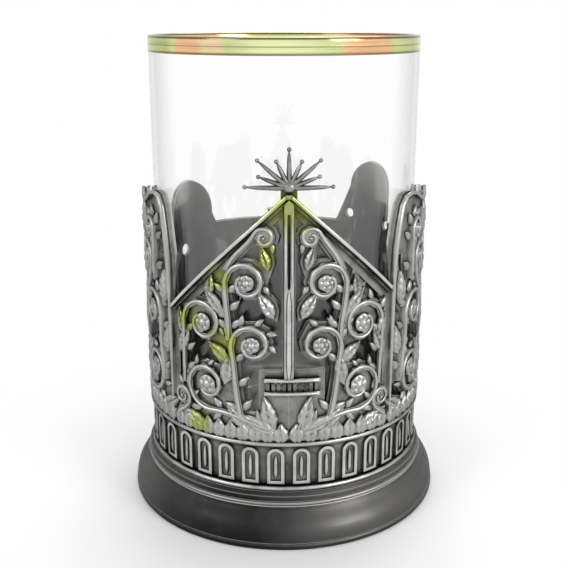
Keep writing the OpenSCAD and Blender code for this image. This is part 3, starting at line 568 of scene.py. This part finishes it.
def both_halves(bm, scrolls, leaves, x0, w, h, inside):
    """A panel's relief, mirrored about the line x0; the leaves on that line are made once."""
    for half in (-1, 1):
        own = leaves if half > 0 else [row for row in leaves if row[0][0]]
        ornament(bm, scrolls, own, x0, w, h, half, inside)


def border(bm, w, inside):
    """The pointed leaves that stand side by side on the band."""
    n = round(w / (3.3 * mm))
    for i in range(1, n + 1):
        x = (2 * i - 1 - n) / n * w / 2
        if inside(Vector((x, band_top_z + 3 * mm))):
            leaf(bm, Vector((x, band_top_z - 0.6 * mm)), 90, 5.4 * mm, 3.6 * mm, -0.45 * mm, 0.95 * mm,
                 along=20, veins=3)


front_scrolls = [
    [[0.10, 0.05], 15, [0.65, 0.215], 0.105, -95, 1],
    [[0.87, 0.20], 88, [0.68, 0.475], 0.098, 0, 1],
    [[0.34, 0.06], 75, [0.27, 0.405], 0.085, -8, 1],
    [[0.445, 0.42], 88, [0.31, 0.655], 0.085, 0, 1],
    [[0.46, 0.70], 108, [0.17, 0.835], 0.040, 30, 1],
    [[0.98, 0.04], 120, [0.91, 0.135], 0.045, 200, -1]]
front_leaves = [
    [[0.12, 0.03], 80, 0.17, 0.060], [[0.30, 0.05], 45, 0.13, 0.055], [[0.06, 0.03], 25, 0.19, 0.055],
    [[0.49, 0.23], 100, 0.14, 0.055], [[0.46, 0.33], 40, 0.11, 0.050], [[0.93, 0.33], 118, 0.13, 0.050],
    [[0.88, 0.40], 80, 0.12, 0.045], [[0.50, 0.52], 52, 0.13, 0.050], [[0.10, 0.52], 60, 0.12, 0.045],
    [[0.62, 0.59], 100, 0.09, 0.040], [[0.14, 0.71], 75, 0.10, 0.035], [[0.65, 0.03], 20, 0.16, 0.050]]
side_scrolls = [
    [[0.02, 0.03], 20, [0.24, 0.20], 0.105, -95, 1],
    [[0.39, 0.17], 92, [0.22, 0.47], 0.100, -5, 1],
    [[0.02, 0.30], 80, [0.14, 0.70], 0.070, -20, 1],
    [[0.28, 0.62], 85, [0.22, 0.83], 0.050, 0, 1]]
side_leaves = [
    [[0.00, 0.06], 90, 0.25, 0.085], [[0.00, 0.30], 90, 0.20, 0.070], [[0.00, 0.56], 90, 0.20, 0.070],
    [[0.03, 0.20], 50, 0.15, 0.050], [[0.38, 0.05], 30, 0.13, 0.050], [[0.42, 0.30], 78, 0.14, 0.050],
    [[0.40, 0.52], 85, 0.15, 0.045], [[0.06, 0.46], 48, 0.12, 0.045], [[0.02, 0.78], 58, 0.15, 0.050],
    [[0.00, 0.74], 90, 0.21, 0.060]]
back_scrolls = side_scrolls[:1] + [[[0.39, 0.17], 92, [0.24, 0.48], 0.105, -5, 1]]
back_leaves = [
    [[0.00, 0.06], 90, 0.25, 0.085], [[0.00, 0.34], 90, 0.24, 0.075],
    [[0.03, 0.20], 50, 0.15, 0.050], [[0.38, 0.05], 30, 0.13, 0.050], [[0.05, 0.46], 60, 0.13, 0.045]]
back_end_scrolls = [
    [[0.42, 0.56], -70, [0.56, 0.36], 0.085, 100, -1],
    [[0.40, 0.10], 40, [0.60, 0.16], 0.075, 150, -1]]
crest_edge = [
    [0, 0], [0.015, 0.42], [0.04, 0.68], [0.065, 0.88], [0.105, 0.98], [0.17, 1], [0.25, 0.97], [0.32, 0.90],
    [0.40, 0.84], [0.50, 0.86], [0.60, 0.91], [0.68, 0.86], [0.77, 0.66], [0.88, 0.30], [1, 0]]

apex_z = 87.5 * mm
crest_z = 85.2 * mm
notch_z = 69 * mm
saddle_z = 67 * mm
fence_low_z, fence_top_z = 39.1 * mm, 43.4 * mm
fence_left_a, fence_right_a = 9.1, 11.6
left_eave_a, left_eave_z = 50.5, 58.5 * mm
right_eave_a, right_eave_z = 43.5, 63.5 * mm
notch_a = 113
gable_h = apex_z - band_top_z
wall_h = crest_z - band_top_z
back_w = (180 - notch_a) * arc_deg
strap_w = 10 * mm
rim_r = 0.5 * mm
panels = []
for side, eave_a, eave_z, fence_a, lobe_a, lobe_half_a, lobe_z, flare_w in (
        (-1, left_eave_a, left_eave_z, fence_left_a, 128, 14.5, crest_z - 4.7 * mm, 1.5 * mm),
        (1, right_eave_a, right_eave_z, fence_right_a, 130.5, 12, crest_z + 0.3 * mm, 5 * mm)):
    name = "right" if side > 0 else "left"
    w = eave_a * arc_deg
    post_x = -side * w / 2

    def in_front(p):
        """Whether a front panel has room at a point: under the rail, off the fence and the openings."""
        out = side * (p.x - post_x)
        rise = (p.y - band_top_z) / gable_h
        beside_fence = out > fence_a * arc_deg + mm or not fence_low_z - mm < p.y < fence_top_z + mm
        beside_gap = not (0.16 < out / w < 0.48 and 0.68 < rise < 0.87)
        under_rail = p.y < apex_z - (apex_z - eave_z) * out / w - 3.6 * mm
        on_panel = 1.9 * mm < out < w - mm and band_top_z + mm < p.y
        return on_panel and under_rail and beside_fence and beside_gap

    bm = bmesh.new()
    ornament(bm, front_scrolls, front_leaves, post_x, w, gable_h, side, in_front)
    border(bm, w, lambda p: True)
    panels.append([f"front_{name}", bm, side * eave_a / 2])

    w = (notch_a - eave_a) * arc_deg
    edge = []
    for share, rise in crest_edge:
        low = eave_z + (notch_z - eave_z) * share
        edge.append(Vector((side * (w * share - w / 2), low + (crest_z - low) * rise)))

    def in_side(p):
        """Whether a side panel has room at a point, under its crested edge."""
        row = edge if side > 0 else edge[::-1]
        for a, b in zip(row, row[1:]):
            if a.x <= p.x <= b.x:
                top = a.y + (b.y - a.y) * (p.x - a.x) / (b.x - a.x)
                return band_top_z + mm < p.y < top - 1.4 * mm and abs(p.x) < w / 2 - 1.2 * mm
        return False

    bm = bmesh.new()
    both_halves(bm, side_scrolls, side_leaves, 0, w, wall_h, in_side)
    border(bm, w, in_side)
    rib(bm, [Vector((edge[0].x + side * 0.3 * mm, band_top_z)), edge[0] + Vector((side * 0.3 * mm, 0))]
        + [p + Vector((0, -0.45 * mm)) for p in edge[1:]], rim_r, rim_r, sides=8)
    panels.append([name, bm, side * (eave_a + notch_a) / 2])

    lobe_x = side * (lobe_a - (notch_a + 180) / 2) * arc_deg
    lobe_r = lobe_half_a * arc_deg
    lobe_mid = Vector((lobe_x, lobe_z - lobe_r))
    strap_x = side * back_w / 2

    def in_back(p):
        """Whether a back panel has room at a point, clear of the strap."""
        beside_strap = abs(p.x - strap_x) > strap_w / 2 + mm
        return beside_strap and band_top_z + mm < p.y < saddle_z - 1.2 * mm and abs(p.x) < back_w / 2 - mm

    bm = bmesh.new()
    both_halves(bm, back_scrolls, back_leaves, lobe_x, back_w, wall_h, in_back)
    ornament(bm, back_end_scrolls, [], lobe_x, back_w, wall_h, side, in_back)
    border(bm, back_w, in_back)
    rounded = [lobe_mid + on_circle(lobe_r - 0.45 * mm, a) for a in range(0, 181, 9)][::side]
    foot_x = lobe_x + side * (lobe_r + flare_w)
    slope = evenly((foot_x, saddle_z - 0.45 * mm), (rounded[0].x, saddle_z + 2.1 * flare_w), 4)
    rib(bm, evenly((strap_x, saddle_z - 0.45 * mm), slope[0], 4)[:-1] + slope + rounded
        + [Vector((rounded[-1].x, notch_z))], rim_r, rim_r, sides=8)
    lobe_leaf_z = saddle_z - 3 * mm
    leaf(bm, Vector((lobe_x, lobe_leaf_z)), 90, lobe_z - saddle_z + mm, 7 * mm, -0.7 * mm, 1.05 * mm)
    for lean in (-1, 1):
        leaf(bm, Vector((lobe_x + lean * mm, lobe_leaf_z)), 90 - lean * 32, 10 * mm, 4.5 * mm,
             -0.75 * mm, 0.9 * mm)
    panels.append([f"back_{name}", bm, side * (notch_a + 180) / 2])

for name, bm, middle_a in panels:
    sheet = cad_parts[f"openwork_{name}"]
    sheet.data.materials.clear()
    sheet.data.materials.append(blackened_silver)
    wrapped(bm, middle_a, relief_r)
    soldered(f"relief_{name}", bm, blackened_silver)

# The two rails of the gable are cast strips with a round upper edge over a step, soldered on over the
# panels' edges.
# The step is painted near black, a painted shade under the edge. The silvering is worn to the brass where
# they meet.
rail_r = wall_r + 1.5 * mm
# Its lowest tones are near black: painted shade under the raised edges of rails, post and fence.
rail_silver = silver_finish("rail_silver", rail_r - 0.55 * mm, rail_r + 0.2 * mm, (0.008, 0.018, 0.5, 0.76),
                            0.22, recess=3.6, brass_amount=0.9)
for side, eave_a, eave_z in ((-1, left_eave_a, left_eave_z), (1, right_eave_a, right_eave_z)):
    name = "right" if side > 0 else "left"
    softened(f"gable_rail_{name}", f"cast_rail_{name}", rail_silver, 0.1 * mm)
    w = eave_a * arc_deg
    bm = bmesh.new()
    down = Vector((0, -0.52 * mm))
    rib(bm, evenly(Vector((-side * w / 2, apex_z)) + down, Vector((side * w / 2, eave_z)) + down, 30),
        0.5 * mm, 0.5 * mm, blunt=False)
    wrapped(bm, side * eave_a / 2, rail_r - 0.2 * mm)
    soldered(f"rail_edge_{name}", bm, rail_silver)

# The post is a cast bar with a groove up its upper half, between two round beads that run
# together into one lower down.
softened("centre_post", "cast_post", rail_silver, 0.1 * mm)
bm = bmesh.new()
join_z = 65 * mm
bead_x = 0.72 * mm
for lean in (-1, 1):
    bead = points((lean * 0.2 * mm, join_z), (lean * bead_x, join_z + 2.5 * mm))
    bead += evenly((lean * bead_x, join_z + 5 * mm), (lean * bead_x, apex_z - 3.5 * mm), 8)
    rib(bm, bead, 0.36 * mm, 0.36 * mm)
rib(bm, evenly((0, fence_top_z - 0.4 * mm), (0, join_z + 0.6 * mm), 12), 0.62 * mm, 0.52 * mm)
wrapped(bm, 0, rail_r - 0.12 * mm)
soldered("post_beads", bm, rail_silver)

# The star over the apex is cast, with slender tapering rays that spring from a round hub and end
# in small knobs. It is soldered on where the rails meet.
star_z = 89 * mm
star_ray, star_reach = 9 * mm, 10.6 * mm
ray_count, ray_gap_a = 9, 22.5
bm = bmesh.new()
for i in range(ray_count):
    a = math.radians(ray_gap_a * i)
    tip = Vector((star_reach * math.cos(a), star_ray * math.sin(a))) * (1 if i % 2 == 0 else 0.74)
    rib(bm, evenly((0, star_z), Vector((0, star_z)) + tip * 0.93, 8), 0.68 * mm, 0.4 * mm)
    knob = bmesh.ops.create_uvsphere(bm, u_segments=12, v_segments=8, radius=0.52 * mm)["verts"]
    bmesh.ops.translate(bm, vec=(tip.x * 0.95, star_z + tip.y * 0.95, 0), verts=knob)
hub = bmesh.ops.create_uvsphere(bm, u_segments=20, v_segments=12, radius=1.35 * mm)["verts"]
bmesh.ops.scale(bm, vec=(1, 1, 0.5), verts=hub)
bmesh.ops.translate(bm, vec=(0, star_z, 0), verts=hub)
wrapped(bm, 0, wall_r + 0.55 * mm)
star_silver = silver_finish("star_silver", wall_r - 0.2 * mm, wall_r + 1.2 * mm, (0.008, 0.025, 0.14, 0.5),
                            0.28)
soldered("cast_star", bm, star_silver, "starburst")

# The little fence at the post's foot is cast with its bars and its two rails in one, and
# soldered on. A round bead lies along each rail.
softened("balustrade", "cast_fence", rail_silver, 0.08 * mm)
bm = bmesh.new()
for z in (fence_low_z + 0.45 * mm, fence_top_z - 0.45 * mm):
    rib(bm, evenly((-fence_left_a * arc_deg, z), (fence_right_a * arc_deg, z), 16), 0.42 * mm, 0.42 * mm)
wrapped(bm, 0, rail_r - 0.15 * mm)
soldered("fence_rails", bm, rail_silver)

# A strap covers the seam at the back, with a bead along each side, and carries the two
# bracket plates that the handle is soldered to.
handle_silver = silver_finish("handle_silver", wall_r, 60 * mm, (0.02, 0.15, 0.31, 0.52), 0.32, recess=1.6)
softened("back_strap", "cast_strap", handle_silver, 0.12 * mm)
bm = bmesh.new()
for lean in (-1, 1):
    x = lean * (strap_w / 2 - 0.8 * mm)
    rib(bm, evenly((x, band_low_z + 0.9 * mm), (x, saddle_z - 1.4 * mm), 10), 0.6 * mm, 0.6 * mm)
wrapped(bm, 180, rail_r)
soldered("strap_beads", bm, handle_silver)
for end in ("upper", "lower"):
    softened(f"handle_{end}_bracket", f"bracket_{end}", handle_silver, 0.35 * mm)

# The bow is cast, waisted in its middle, with a round back and a raised rib along it. Its ends
# are soldered to the bracket plates.
handle_reach, handle_w, handle_t = 71 * mm, 7.5 * mm, 3 * mm
handle_top_z, handle_low_z = 57.5 * mm, 21 * mm
bow_out = handle_reach - handle_t / 2
bow_run = handle_reach - rail_r
bow_rise = handle_w / 2
handle_mid_z = (handle_top_z + handle_low_z) / 2 + handle_t
bow_steps = 28
upper_bow = curve(points((rail_r, handle_top_z), (rail_r + bow_run * 0.35, handle_top_z + bow_rise),
                         (bow_out, handle_top_z + bow_rise), (bow_out, handle_mid_z)), bow_steps)
lower_bow = curve(points((bow_out, handle_mid_z), (bow_out, handle_low_z + 2 * bow_rise),
                         (rail_r + bow_run * 0.42, handle_low_z), (rail_r, handle_low_z)), bow_steps)
bow_line = [p for p in upper_bow + lower_bow[1:] if p.x > rail_r + 1.2 * mm]
bm = bmesh.new()
section = bmesh.ops.create_circle(bm, segments=32, radius=1, cap_ends=True)["verts"]
for v in section:
    c, s = v.co.x, v.co.y
    round_back = math.copysign(abs(s) ** 0.8, s) * (1 if s < 0 else 0.8)
    raised_rib = 0.2 * max(0, 1 - abs(c) * 3.5) if s > 0 else 0
    v.co = (math.copysign(abs(c) ** 0.75, c), round_back + raised_rib, 0)
last = len(bow_line) - 1
seat = Matrix.Identity(4)
ring = list({e for v in section for e in v.link_edges})
for i, p in enumerate(bow_line):
    along = (bow_line[min(i + 1, last)] - bow_line[max(i - 1, 0)]).normalized()
    half_t = handle_t / 2 * (1 + 0.4 * (2 * i / last - 1) ** 2)
    rise = max(0, min(1, (p.y - handle_low_z + handle_w) / (handle_top_z - handle_low_z + 2 * handle_w)))
    half_w = handle_w * (0.38 + 0.12 * (2 * rise - 1) ** 2)
    place = Matrix(((1, 0, 0, 0), (0, -along.y, along.x, p.x), (0, along.x, along.y, p.y), (0, 0, 0, 1)))
    place = place @ Matrix.Diagonal((half_w, half_t, 1, 1))
    if i:
        grown = bmesh.ops.extrude_edge_only(bm, edges=ring)["geom"]
        section = [g for g in grown if isinstance(g, bmesh.types.BMVert)]
        ring = [g for g in grown if isinstance(g, bmesh.types.BMEdge)
                and g.verts[0] in section and g.verts[1] in section]
    bmesh.ops.transform(bm, matrix=place @ seat.inverted(), verts=section)
    seat = place
bmesh.ops.holes_fill(bm, edges=bm.edges)
bmesh.ops.recalc_face_normals(bm, faces=bm.faces)
soldered("cast_bow", bm, handle_silver, "handle_bow", sharp=50)

# The thumb rest is a cast leaf with a raised midrib and veins, hollowed a little for the thumb. It is
# soldered on the bow's back, and its tip is curled up.
rest_w, rest_t = 13 * mm, 1.3 * mm
rest_sunk = 0.4 * mm
rest_line = []
for i in range(bow_steps // 4, bow_steps * 7 // 12 + 1):
    along = (upper_bow[i + 1] - upper_bow[i - 1]).normalized()
    raised = handle_t / 2 * (1 + 0.4 * (i / bow_steps - 1) ** 2) + rest_t - rest_sunk / 2
    rest_line.append(upper_bow[i] + Vector((-along.y, along.x)) * raised)
rest_tip = rest_line[-1]
half_l = (rest_tip.x - rest_line[0].x) / 2 + 2 * rest_t
along = (rest_tip - rest_line[-2]).normalized()
curl = [rest_tip, rest_tip + along * 2.6 * mm, rest_tip + Vector((4.2 * mm, 1.3 * mm)),
        rest_tip + Vector((3.1 * mm, 3.1 * mm))]
rest_line += curve(curl, 10)[1:]
bm = bmesh.new()
bmesh.ops.create_grid(bm, x_segments=48, y_segments=24, size=1)
for v in bm.verts:
    at = (v.co.x + 1) / 2 * (len(rest_line) - 1.001)
    i = int(at)
    p = rest_line[i].lerp(rest_line[i + 1], at - i)
    along = (rest_line[min(i + 2, len(rest_line) - 1)] - rest_line[max(i - 1, 0)]).normalized()
    side = v.co.y
    out = min(1, max(-1, (p.x - rest_line[0].x + rest_t) / half_l - 1))
    half = rest_w / 2 * math.sqrt(math.sin(math.pi * (0.08 + 0.42 * (1 + out)))) * 0.96
    vein = math.cos(2 * math.pi * (5 * (v.co.x + 1) / 2 - 0.8 * abs(side)))
    midrib = 0.3 * max(0, 1 - abs(side) * 5)
    hollow = 0.28 * (1 - side * side)
    half *= 1 + 0.035 * vein
    rise = midrib - hollow + 0.1 * vein * abs(side)
    p = p + Vector((-along.y, along.x)) * rise * mm
    v.co = (side * half, p.x, p.y)
bmesh.ops.recalc_face_normals(bm, faces=bm.faces)
bmesh.ops.solidify(bm, geom=bm.faces, thickness=-rest_t - rest_sunk / 2)
bmesh.ops.recalc_face_normals(bm, faces=bm.faces)
soldered("cast_thumb_rest", bm, handle_silver, "handle_thumb_rest", sharp=50)

# The glass is thin and straight, blown in one piece, with a thicker bottom that is hollowed a
# little underneath. It stands loose in the holder.
glass_low, glass_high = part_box("tumbler")
glass_r = glass_high.x
glass_wall = 1.2 * mm
glass_base = 4 * mm
heel_r = 4 * mm
bore_r = glass_r - glass_wall
bore_heel = heel_r - glass_wall
hollow_z = glass_low.z + 0.8 * mm
bottom = points((0, hollow_z), (glass_r - heel_r - 6.8 * mm, hollow_z),
                (glass_r - heel_r - 6 * mm, glass_low.z))
outside = arc(Vector((glass_r - heel_r, glass_low.z + heel_r)), heel_r, -90, 0, 9)
inside = arc(Vector((glass_r - heel_r, glass_low.z + glass_base + bore_heel)), bore_heel, 0, -90, 9)
clear, tree, shader = new_material("clear_glass")
# The glass is painted grey where it is seen edge on: painted shade at its outline.
edge_on = wired(tree, "ShaderNodeLayerWeight", {"Blend": 0.5})
painted_edge_shade = ranged(tree, edge_on.outputs["Facing"], 0.45, 1.0, 0.0, 1.0)
fed(tree, shader, {"Base Color": mixed(tree, painted_edge_shade, (0.99, 0.995, 0.99, 1), (0.42, 0.43, 0.42, 1)),
                   "Roughness": 0.0, "IOR": 1.5, "Transmission Weight": 1.0})
blown_glass = spun("blown_glass", bottom + outside + points((glass_r, glass_high.z), (bore_r, glass_high.z))
                   + inside + points((0, glass_low.z + glass_base)), clear, closed=False)
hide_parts("tumbler")
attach(blown_glass, "glass")

# The lip is gilded, outside, inside and over the top, and fired on. The gold is thin and drifts between
# copper, olive and a pale yellow round the lip, with streaks left by the brush and darker bands painted
# round it as shade and reflection.
lip_out_r, lip_top_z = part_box("gilt_rim")[1].x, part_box("gilt_rim")[1].z
lip_h = 4 * mm
lip_r = (lip_out_r - bore_r) / 2
lip = points((lip_out_r, glass_high.z), (lip_out_r, glass_high.z + 0.4 * mm),
             (lip_out_r, lip_top_z - 1.2 * mm))
lip += arc(Vector((lip_out_r - lip_r, lip_top_z - lip_r)), lip_r, 0, 180, 12)
lip += points((bore_r, glass_high.z))
copper, peach, pale_yellow = (0.97, 0.58, 0.31, 1), (1.0, 0.76, 0.46, 1), (0.90, 0.96, 0.50, 1)
pale_green, olive = (0.70, 0.77, 0.35, 1), (0.50, 0.54, 0.21, 1)
hues_round = (
    (-180, pale_green), (-150, copper), (-132, peach), (-115, pale_yellow), (-92, pale_green), (-72, olive),
    (-55, olive), (-50, pale_green), (-46, copper), (-37, copper), (-33, peach), (-27, peach),
    (-23, pale_green), (-10, pale_yellow), (8, pale_yellow), (18, pale_green), (23, copper), (42, copper),
    (47, pale_green), (62, olive), (76, pale_green), (98, pale_yellow), (124, copper), (150, peach),
    (180, pale_green))
# Painted shade and reflection: darker bands round the lip at set heights, at its foot and in two lines
# higher up.
painted_shade_greys = ((0.0, 0.3), (0.1, 0.4), (0.16, 1.0), (0.42, 1.0), (0.465, 0.3), (0.51, 1.0), (0.82, 1.0),
            (0.87, 0.2), (0.93, 0.2), (1.0, 0.85))
gilding, tree, shader = new_material("fired_gilding")
place = wired(tree, "ShaderNodeTexCoord").outputs["Object"]
xyz = wired(tree, "ShaderNodeSeparateXYZ", {0: place}).outputs
brushed = wired(tree, "ShaderNodeMapping", {"Vector": place, "Scale": (40, 40, 1500)})
strokes = noise(tree, brushed.outputs[0], 1.0, 3.0)
turn = maths(tree, "ARCTAN2", xyz["X"], maths(tree, "MULTIPLY", xyz["Y"], -1.0))
around = ranged(tree, turn, -math.pi, math.pi, 0.0, 1.0)
drift = toned(tree, around, [(a / 360 + 0.5, hue) for a, hue in hues_round])
height = ranged(tree, xyz["Z"], lip_top_z - lip_h, lip_top_z, 0.0, 1.0)
painted_shade_lines = toned(tree, height, [(at, (grey, grey, grey, 1)) for at, grey in painted_shade_greys])
uneven = ranged(tree, strokes, 0.25, 0.75, 0.68, 1.0)
brushwork_and_painted_shade = mixed(tree, 1.0, painted_shade_lines, uneven, blend="MULTIPLY")
fed(tree, shader, {"Base Color": mixed(tree, 1.0, drift, brushwork_and_painted_shade, blend="MULTIPLY"),
                   "Roughness": ranged(tree, strokes, 0.2, 0.8, 0.1, 0.24), "Metallic": 0.85})
gilded_lip = spun("gilded_lip", lip, gilding)
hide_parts("gilt_rim")
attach(gilded_lip, "glass")


# The floor of the studio is pale paper, laid flat under the object. It keeps the object's shadow,
# and burns out to white a little way from it.
def background_ray(tree):
    """1 for a ray that shows the white room: seen, looked at through the glass or mirrored."""
    path = wired(tree, "ShaderNodeLightPath").outputs
    looked_at = maths(tree, "MAXIMUM", path["Is Camera Ray"], path["Is Transmission Ray"])
    return maths(tree, "MAXIMUM", looked_at, path["Is Glossy Ray"])


shadow_r, white_r = 42 * mm, 112 * mm
paper, tree, shader = new_material("pale_paper")
fed(tree, shader, {"Base Color": (0.9, 0.9, 0.9, 1), "Roughness": 0.9})
place = wired(tree, "ShaderNodeTexCoord").outputs["Object"]
away = wired(tree, "ShaderNodeVectorMath", {0: place}, operation="LENGTH")
fade = ranged(tree, away.outputs["Value"], shadow_r, white_r, 0.0, 1.0, smooth=True)
white = wired(tree, "ShaderNodeEmission", {"Color": (1, 1, 1, 1), "Strength": 1.0})
both = wired(tree, "ShaderNodeMixShader", {0: maths(tree, "MULTIPLY", background_ray(tree), fade),
                                           1: shader.outputs[0], 2: white.outputs[0]})
fed(tree, tree.nodes["Material Output"], {"Surface": both.outputs[0]})
bm = bmesh.new()
bmesh.ops.create_grid(bm, x_segments=1, y_segments=1, size=3.0)
table = finished("table", bm, paper)

# The room is white all round and above, as it is seen, mirrored in the metal or looked at through
# the glass. What it sheds on the object is softer, and a little dimmer in front than at the back.
world = bpy.data.worlds.new("white_room")
bpy.context.scene.world = world
world.use_nodes = True
sky = world.node_tree
sky.nodes.clear()
direction = wired(sky, "ShaderNodeTexCoord").outputs["Generated"]
back = wired(sky, "ShaderNodeSeparateXYZ", {0: direction}).outputs["Y"]
dimmer = ranged(sky, back, -1.0, 0.0, 0.55, 0.68, smooth=True)
plain = wired(sky, "ShaderNodeBackground", {"Color": (1, 1, 1, 1), "Strength": dimmer})
white = wired(sky, "ShaderNodeBackground", {"Color": (1, 1, 1, 1), "Strength": 1.0})
both = wired(sky, "ShaderNodeMixShader", {0: background_ray(sky), 1: plain.outputs[0], 2: white.outputs[0]})
wired(sky, "ShaderNodeOutputWorld", {"Surface": both.outputs[0]})


def soft_box(name, place, size, power):
    """A square lamp that faces the middle of the object."""
    lamp = bpy.data.lights.new(name, "AREA")
    lamp.size = size
    lamp.energy = power
    obj = bpy.data.objects.new(name, lamp)
    aim = (Vector((0, 0, 0.06)) - Vector(place)).to_track_quat("-Z", "Y")
    obj.matrix_world = Matrix.Translation(place) @ aim.to_matrix().to_4x4()
    bpy.context.scene.collection.objects.link(obj)


soft_box("key_right", (0.68, -0.6, 0.38), 0.4, 4)
soft_box("fill_left", (-0.7, -0.5, 0.5), 0.4, 2.4)
soft_box("top_back", (0.1, 0.5, 0.9), 0.6, 4)

# The camera looks a little down at the object from the front, a touch to the left of the gable.
# Its distance, height and tilt are those at which the ellipses of lip, band and foot match the picture's.
camera = bpy.data.cameras.new("camera")
camera.sensor_width = 36
picture_px = 568
focal_px = 881
camera.lens = camera.sensor_width * focal_px / picture_px
camera.clip_start = 0.01
eye = bpy.data.objects.new("camera", camera)
eye_distance = 0.230
eye_height = 0.1252
eye_tilt = 16.8
eye_round = 1.8
turned = Matrix.Rotation(math.radians(-eye_round), 4, "Z")
tilted = Matrix.Rotation(math.radians(90 - eye_tilt), 4, "X")
eye.matrix_world = turned @ Matrix.Translation((0, -eye_distance, eye_height)) @ tilted
bpy.context.scene.collection.objects.link(eye)
bpy.context.scene.camera = eye
bpy.context.scene.view_settings.view_transform = "Standard"
